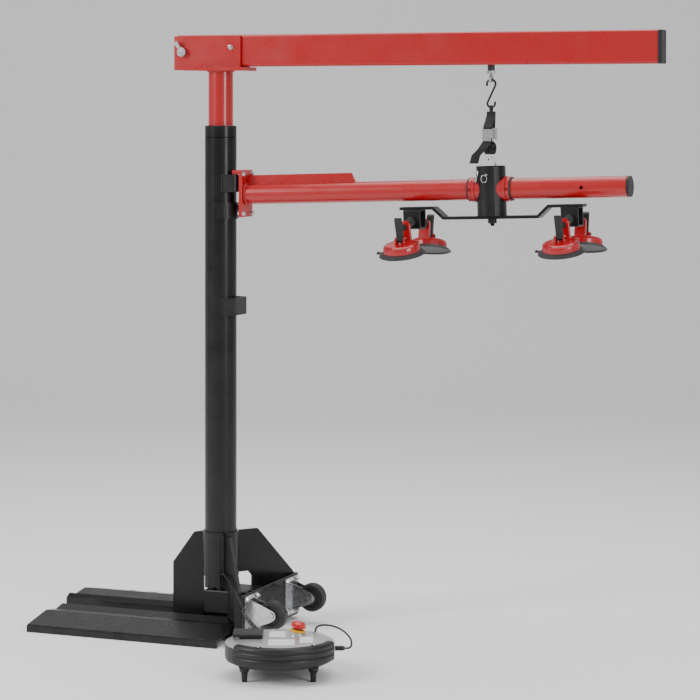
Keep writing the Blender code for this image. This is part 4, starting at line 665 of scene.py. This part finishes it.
# %% Bolts
shape = bmesh.new()
for y in (-0.0285, 0.0285):
    for z in (1.1690, 1.2800):
        hex_bolt(shape, frame_on((0.0820, y, z), (1, 0, 0)), 0.010, 0.0055, 0.0012)
        turned(shape, [(0.0, 0.0), (0.0048, 0.0), (0.0048, 0.004), (0.0, 0.004)], 0.0006,
               frame_on((0.0720, y, z), (-1, 0, 0)), 16)
finish_piece("plate_bolts", shape, "zinc_steel", "base", edge=0.0003)
shape = bmesh.new()
for y in (-0.138, 0.138):
    for dy in (-0.034, 0.034):
        for z in (0.028, 0.117):
            hex_bolt(shape, frame_on((0.1583, y + dy, z), (1, 0, 0)), 0.011, 0.0060, 0.0014, 0.003)
            hex_bolt(shape, frame_on((0.1470, y + dy, z), (-1, 0, 0)), 0.011, 0.0050, 0.0012)
finish_piece("caster_bolts", shape, "zinc_steel", "base", edge=0.0003)
shape = bmesh.new()
for x in (0.000, 0.112):
    for y in (-0.047, 0.047):
        hex_bolt(shape, Matrix.Translation((x, y, 0.1120)), 0.008, 0.0040, 0.0010)
finish_piece("housing_bolts", shape, "dark_steel", "base", edge=0.0003)
shape = bmesh.new()
for x, y in ((-0.140, 0.040), (-0.140, -0.040), (0.128, 0.042), (0.128, -0.042)):
    turned(shape, [(0.0, 0.0), (0.0070, 0.0), (0.0062, 0.0022), (0.0030, 0.0026), (0.0028, 0.0012),
                   (0.0, 0.0012)], 0.0004, Matrix.Translation((x, y, 0.0150)), 24)
finish_piece("floor_screws", shape, "dark_steel", "base")
shape = bmesh.new()
for side in (1.0, -1.0):
    where = frame_on((0.045, side * 0.0318, 1.6360), (0, side, 0))
    hex_bolt(shape, where, 0.010, 0.0045, 0.0012)
finish_piece("cheek_bolts", shape, "zinc_steel", "lift", edge=0.0003)

# %% [markdown]
# The red set collars are backed by black rings, and each holds a small set screw.

# %% Collar rings
shape = bmesh.new()
for side in (-1.0, 1.0):
    where = ARM @ frame_on((side * 0.0580, 0.0, 0.0), (side, 0.0, 0.0))
    turned(shape, [(0.0287, 0.0), (0.0322, 0.0), (0.0322, 0.0042), (0.0287, 0.0042)], 0.0010, where, 64)
    where = ARM @ frame_on((side * 0.0400, 0.0, 0.0), (side, 0.0, 0.0))
    turned(shape, [(0.0290, 0.0004), (0.0340, 0.0004), (0.0340, 0.0026), (0.0290, 0.0026)], 0.0006, where, 64)
finish_piece("collar_rings", shape, "black_rubber", "carriage")
shape = bmesh.new()
for side in (-1.0, 1.0):
    where = ARM @ frame_on((side * 0.0528, -0.0334, 0.0), (0.0, -1.0, 0.0))
    turned(shape, [(0.0, -0.002), (0.0032, -0.002), (0.0032, 0.0008), (0.0016, 0.0008), (0.0016, -0.0006),
                   (0.0, -0.0006)], 0.0003, where, 20)
finish_piece("set_screws", shape, "dark_steel", "carriage")

# %% [markdown]
# The hub's rim has a thin band. A ring hangs from the tip of the lock pin, and another stands by a small lug.

# %% Hub fittings
shape = bmesh.new()
turned(shape, [(0.0345, 0.0610), (0.0404, 0.0610), (0.0404, 0.0632), (0.0345, 0.0632)], 0.0008, ARM, 72)
finish_piece("hub_rim", shape, "dark_steel", "hub")
ring = [ARM @ (Vector((-0.0330, -0.0300, 0.0300)) + Vector((math.sin(a) * 0.0012, math.cos(a) * 0.0062,
                                                            math.sin(a) * 0.0120)))
        for a in [math.radians(i * 15) for i in range(24)]]
tube("hub_clip", ring, 0.0012, "zinc_steel", "hub", rounds=3, cyclic=True)
shape = bmesh.new()
where = ARM @ Matrix.Rotation(math.radians(222), 4, "Z") @ Matrix.Translation((0.0398, 0.0, 0.0440))
block(shape, (0.0, -0.0050, -0.0060), (0.0035, 0.0050, 0.0060), where)
finish_piece("hub_clip_lug", shape, "zinc_steel", "hub", edge=0.0008)
ring = [ARM @ Vector((-0.0040 + 0.0085 * math.sin(a), -0.0490, 0.0385 - 0.0095 + 0.0095 * math.cos(a)))
        for a in [math.radians(i * 15) for i in range(24)]]
tube("pin_ring", ring, 0.0010, "zinc_steel", "hub", rounds=3, cyclic=True)

# %% [markdown]
# ## Suction cups
# Every cup gets ridges on its pad, a plug in its lug, a release tab, and caps on its lever's pin.

# %% Cups
LEVER_PIVOT_HEIGHT = 0.040
for tag in "abcd":
    hinge = joints[f"cup_lever_{tag}_flip"]
    across = Vector(hinge["axis"]).normalized()
    up = Vector((-0.030478, -0.241922, 0.969817)) if tag in "ab" else Vector((-0.030478, 0.241922, 0.969817))
    x_axis = (across - up * across.dot(up)).normalized()
    y_axis = up.cross(x_axis).normalized()
    mid = Vector(hinge["pos_m"])
    turn = Matrix((x_axis, y_axis, up)).transposed().to_4x4()
    cup = Matrix.Translation(mid - up * LEVER_PIVOT_HEIGHT) @ turn
    shape = bmesh.new()
    for radius in (0.0535, 0.0575, 0.0612):
        height = 0.0095 - max(0.0, radius - 0.050) * 0.60
        turned(shape, [(radius - 0.0007, height - 0.0012), (radius + 0.0007, height - 0.0014),
                       (radius + 0.0005, height + 0.0002), (radius - 0.0005, height + 0.0004)], 0.0003, cup,
               64)
    side = 1.0 if tag in "ab" else -1.0
    tab_turn = cup @ Matrix.Rotation(math.radians(180.0 if side > 0 else 0.0), 4, "Z")
    block(shape, (0.0590, -0.0070, 0.0022), (0.0700, 0.0070, 0.0048), tab_turn)
    block(shape, (0.0680, -0.0060, 0.0022), (0.0715, 0.0060, 0.0068), tab_turn)
    finish_piece(f"cup_tab_{tag}", shape, "black_rubber", "frame", edge=0.0006)
    shape = bmesh.new()
    lug_side = 1.0 if (cup.inverted() @ (ARM @ Vector((0.0, 0.0, -0.2)))).y > 0 else -1.0
    where = cup @ frame_on((0.0, lug_side * 0.0338, 0.0660), (0.0, -lug_side, 0.0))
    turned(shape, [(0.0, -0.0006), (0.0092, -0.0006), (0.0088, 0.0018), (0.0040, 0.0026), (0.0, 0.0026)],
           0.0006, where, 32)
    finish_piece(f"cup_plug_{tag}", shape, "black_rubber", "frame")
    shape = bmesh.new()
    for end in (1.0, -1.0):
        turned(shape, [(0.0, -0.0005), (0.0034, -0.0005), (0.0030, 0.0012), (0.0, 0.0016)], 0.0004,
               cup @ frame_on((end * 0.0164, 0.0, 0.0400), (end, 0.0, 0.0)), 20)
    turned(shape, [(0.0452, 0.0262), (0.0464, 0.0262), (0.0464, 0.0274), (0.0452, 0.0278)], 0.0003, cup, 64)
    finish_piece(f"cup_rivets_{tag}", shape, "dark_steel", "frame")
print("cups dressed")

# %% [markdown]
# ## Floor unit
# The guard gets its two long grooves, and the feet get bosses.
# The top carries blank label plates and screws, and the pedal its ribs.

# %% Floor unit
shape = bmesh.new()
rows = []
for i in range(93):
    angle = math.radians(-141.0 + 123.0 * i / 92)
    line = [(0.1423, 0.0500), (0.1465, 0.0500), (0.1485, 0.0520), (0.1489, 0.0560), (0.1489, 0.0635),
            (0.1478, 0.0660), (0.1462, 0.0672), (0.1462, 0.0690), (0.1478, 0.0702), (0.1489, 0.0725),
            (0.1489, 0.0790), (0.1478, 0.0812), (0.1466, 0.0822), (0.1466, 0.0836), (0.1476, 0.0848),
            (0.1484, 0.0870), (0.1478, 0.0920), (0.1455, 0.0958), (0.1420, 0.0976), (0.1375, 0.0982),
            (0.1300, 0.0982), (0.1300, 0.0957), (0.1380, 0.0940), (0.1423, 0.0905)]
    across, along = math.cos(angle), math.sin(angle)
    rows.append([shape.verts.new(UNIT @ Vector((r * across, r * along, z))) for r, z in line])
for first, second in zip(rows, rows[1:]):
    for j in range(len(first)):
        k = (j + 1) % len(first)
        shape.faces.new((first[j], second[j], second[k], first[k]))
shape.faces.new(rows[0][::-1])
shape.faces.new(rows[-1])
finish_piece("grooved_guard", shape, "black_plastic", "base", stands_for=("control_guard",))
shape = bmesh.new()
for angle in (-112.0, -48.0):
    turn = UNIT @ Matrix.Rotation(math.radians(angle), 4, "Z")
    pan_screw(shape, turn @ Matrix.Translation((0.1355, 0.0, 0.0992)), 0.0036)
for x, y in ((0.090, -0.040), (-0.020, 0.100), (0.100, 0.030)):
    pan_screw(shape, UNIT @ Matrix.Translation((x, y, 0.0958)), 0.0034)
finish_piece("unit_screws", shape, "zinc_steel", "base")
shape = bmesh.new()
for angle in (-112.0, -48.0):
    turn = UNIT @ Matrix.Rotation(math.radians(angle), 4, "Z")
    turned(shape, [(0.0, 0.0970), (0.0088, 0.0970), (0.0082, 0.0996), (0.0060, 0.1002), (0.0050, 0.0990),
                   (0.0, 0.0990)], 0.0006, turn @ Matrix.Translation((0.1355, 0.0, 0.0)), 40)
for x, y in ((0.088, -0.073), (-0.088, -0.073), (0.088, 0.073), (-0.088, 0.073)):
    turned(shape, [(0.0068, 0.0200), (0.0110, 0.0260), (0.0150, 0.0384), (0.0068, 0.0384)], 0.0012,
           UNIT @ Matrix.Translation((x, y, 0.0)), 32)
finish_piece("unit_bosses", shape, "black_plastic", "base")
shape = bmesh.new()
LABELS = (((-0.028, -0.092, 0.0966), (0.040, -0.022, 0.0974)),
          ((-0.028, 0.010, 0.0966), (0.014, 0.078, 0.0974)),
          ((0.052, -0.060, 0.0966), (0.086, 0.010, 0.0973)))
for low_corner, high_corner in LABELS:
    block(shape, low_corner, high_corner, UNIT)
finish_piece("blank_labels", shape, "white_panel", "base", edge=0.0003)
shape = bmesh.new()
for i in range(11):
    x = -0.114 + i * 0.0062
    block(shape, (x, -0.0130, 0.1083), (x + 0.0030, 0.0570, 0.1094), UNIT)
block(shape, (-0.1195, -0.0165, 0.1083), (-0.1165, 0.0605, 0.1100), UNIT)
finish_piece("pedal_ribs", shape, "black_rubber", "pedal", edge=0.0004)
ESTOP_LEAN = math.radians(10.0)
stop_base = UNIT @ Vector((0.044, 0.047, 0.0955))
stop_axis = UNIT.to_3x3() @ Vector((math.sin(ESTOP_LEAN), 0.0, math.cos(ESTOP_LEAN)))
shape = bmesh.new()
where = frame_on(stop_base, stop_axis)
turned(shape, [(0.0150, 0.0078), (0.0216, 0.0078), (0.0216, 0.0115), (0.0150, 0.0135)], 0.0006, where, 48)
finish_piece("estop_ring", shape, "yellow_collar", "base")
print("floor unit dressed")

# %% [markdown]
# ## Hanging gear
# The buckle gets its rivets and a front plate, and a short black sleeve covers the eye bolt's stem.

# %% Buckle and sleeve
low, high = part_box("buckle")
shape = bmesh.new()
for side, y in ((-1.0, low.y), (1.0, high.y)):
    where = frame_on(((low.x + high.x) / 2, y, (low.z + high.z) / 2 + 0.003), (0.0, side, 0.0))
    turned(shape, [(0.0, -0.001), (0.0036, -0.001), (0.0032, 0.0014), (0.0, 0.0018)], 0.0004, where, 20)
finish_piece("buckle_rivets", shape, "zinc_steel", "strap")
shape = bmesh.new()
block(shape, (low.x + 0.0015, low.y - 0.0046, low.z + 0.004),
      (high.x - 0.0015, low.y - 0.0030, high.z - 0.003))
block(shape, (low.x + 0.0055, low.y - 0.0062, low.z - 0.004),
      (high.x - 0.0055, low.y - 0.0042, low.z + 0.010))
finish_piece("buckle_plate", shape, "zinc_steel", "strap", edge=0.0006)
shape = bmesh.new()
turned(shape, [(0.0084, 0.0), (0.0098, 0.0), (0.0098, 0.0150), (0.0084, 0.0150)], 0.0006,
       Matrix.Translation((0.808, 0.0, 1.5664)), 40)
finish_piece("eye_sleeve", shape, "black_plastic", "beam")

# %% [markdown]
# ## Size and finish

# %% Finish
low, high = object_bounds()
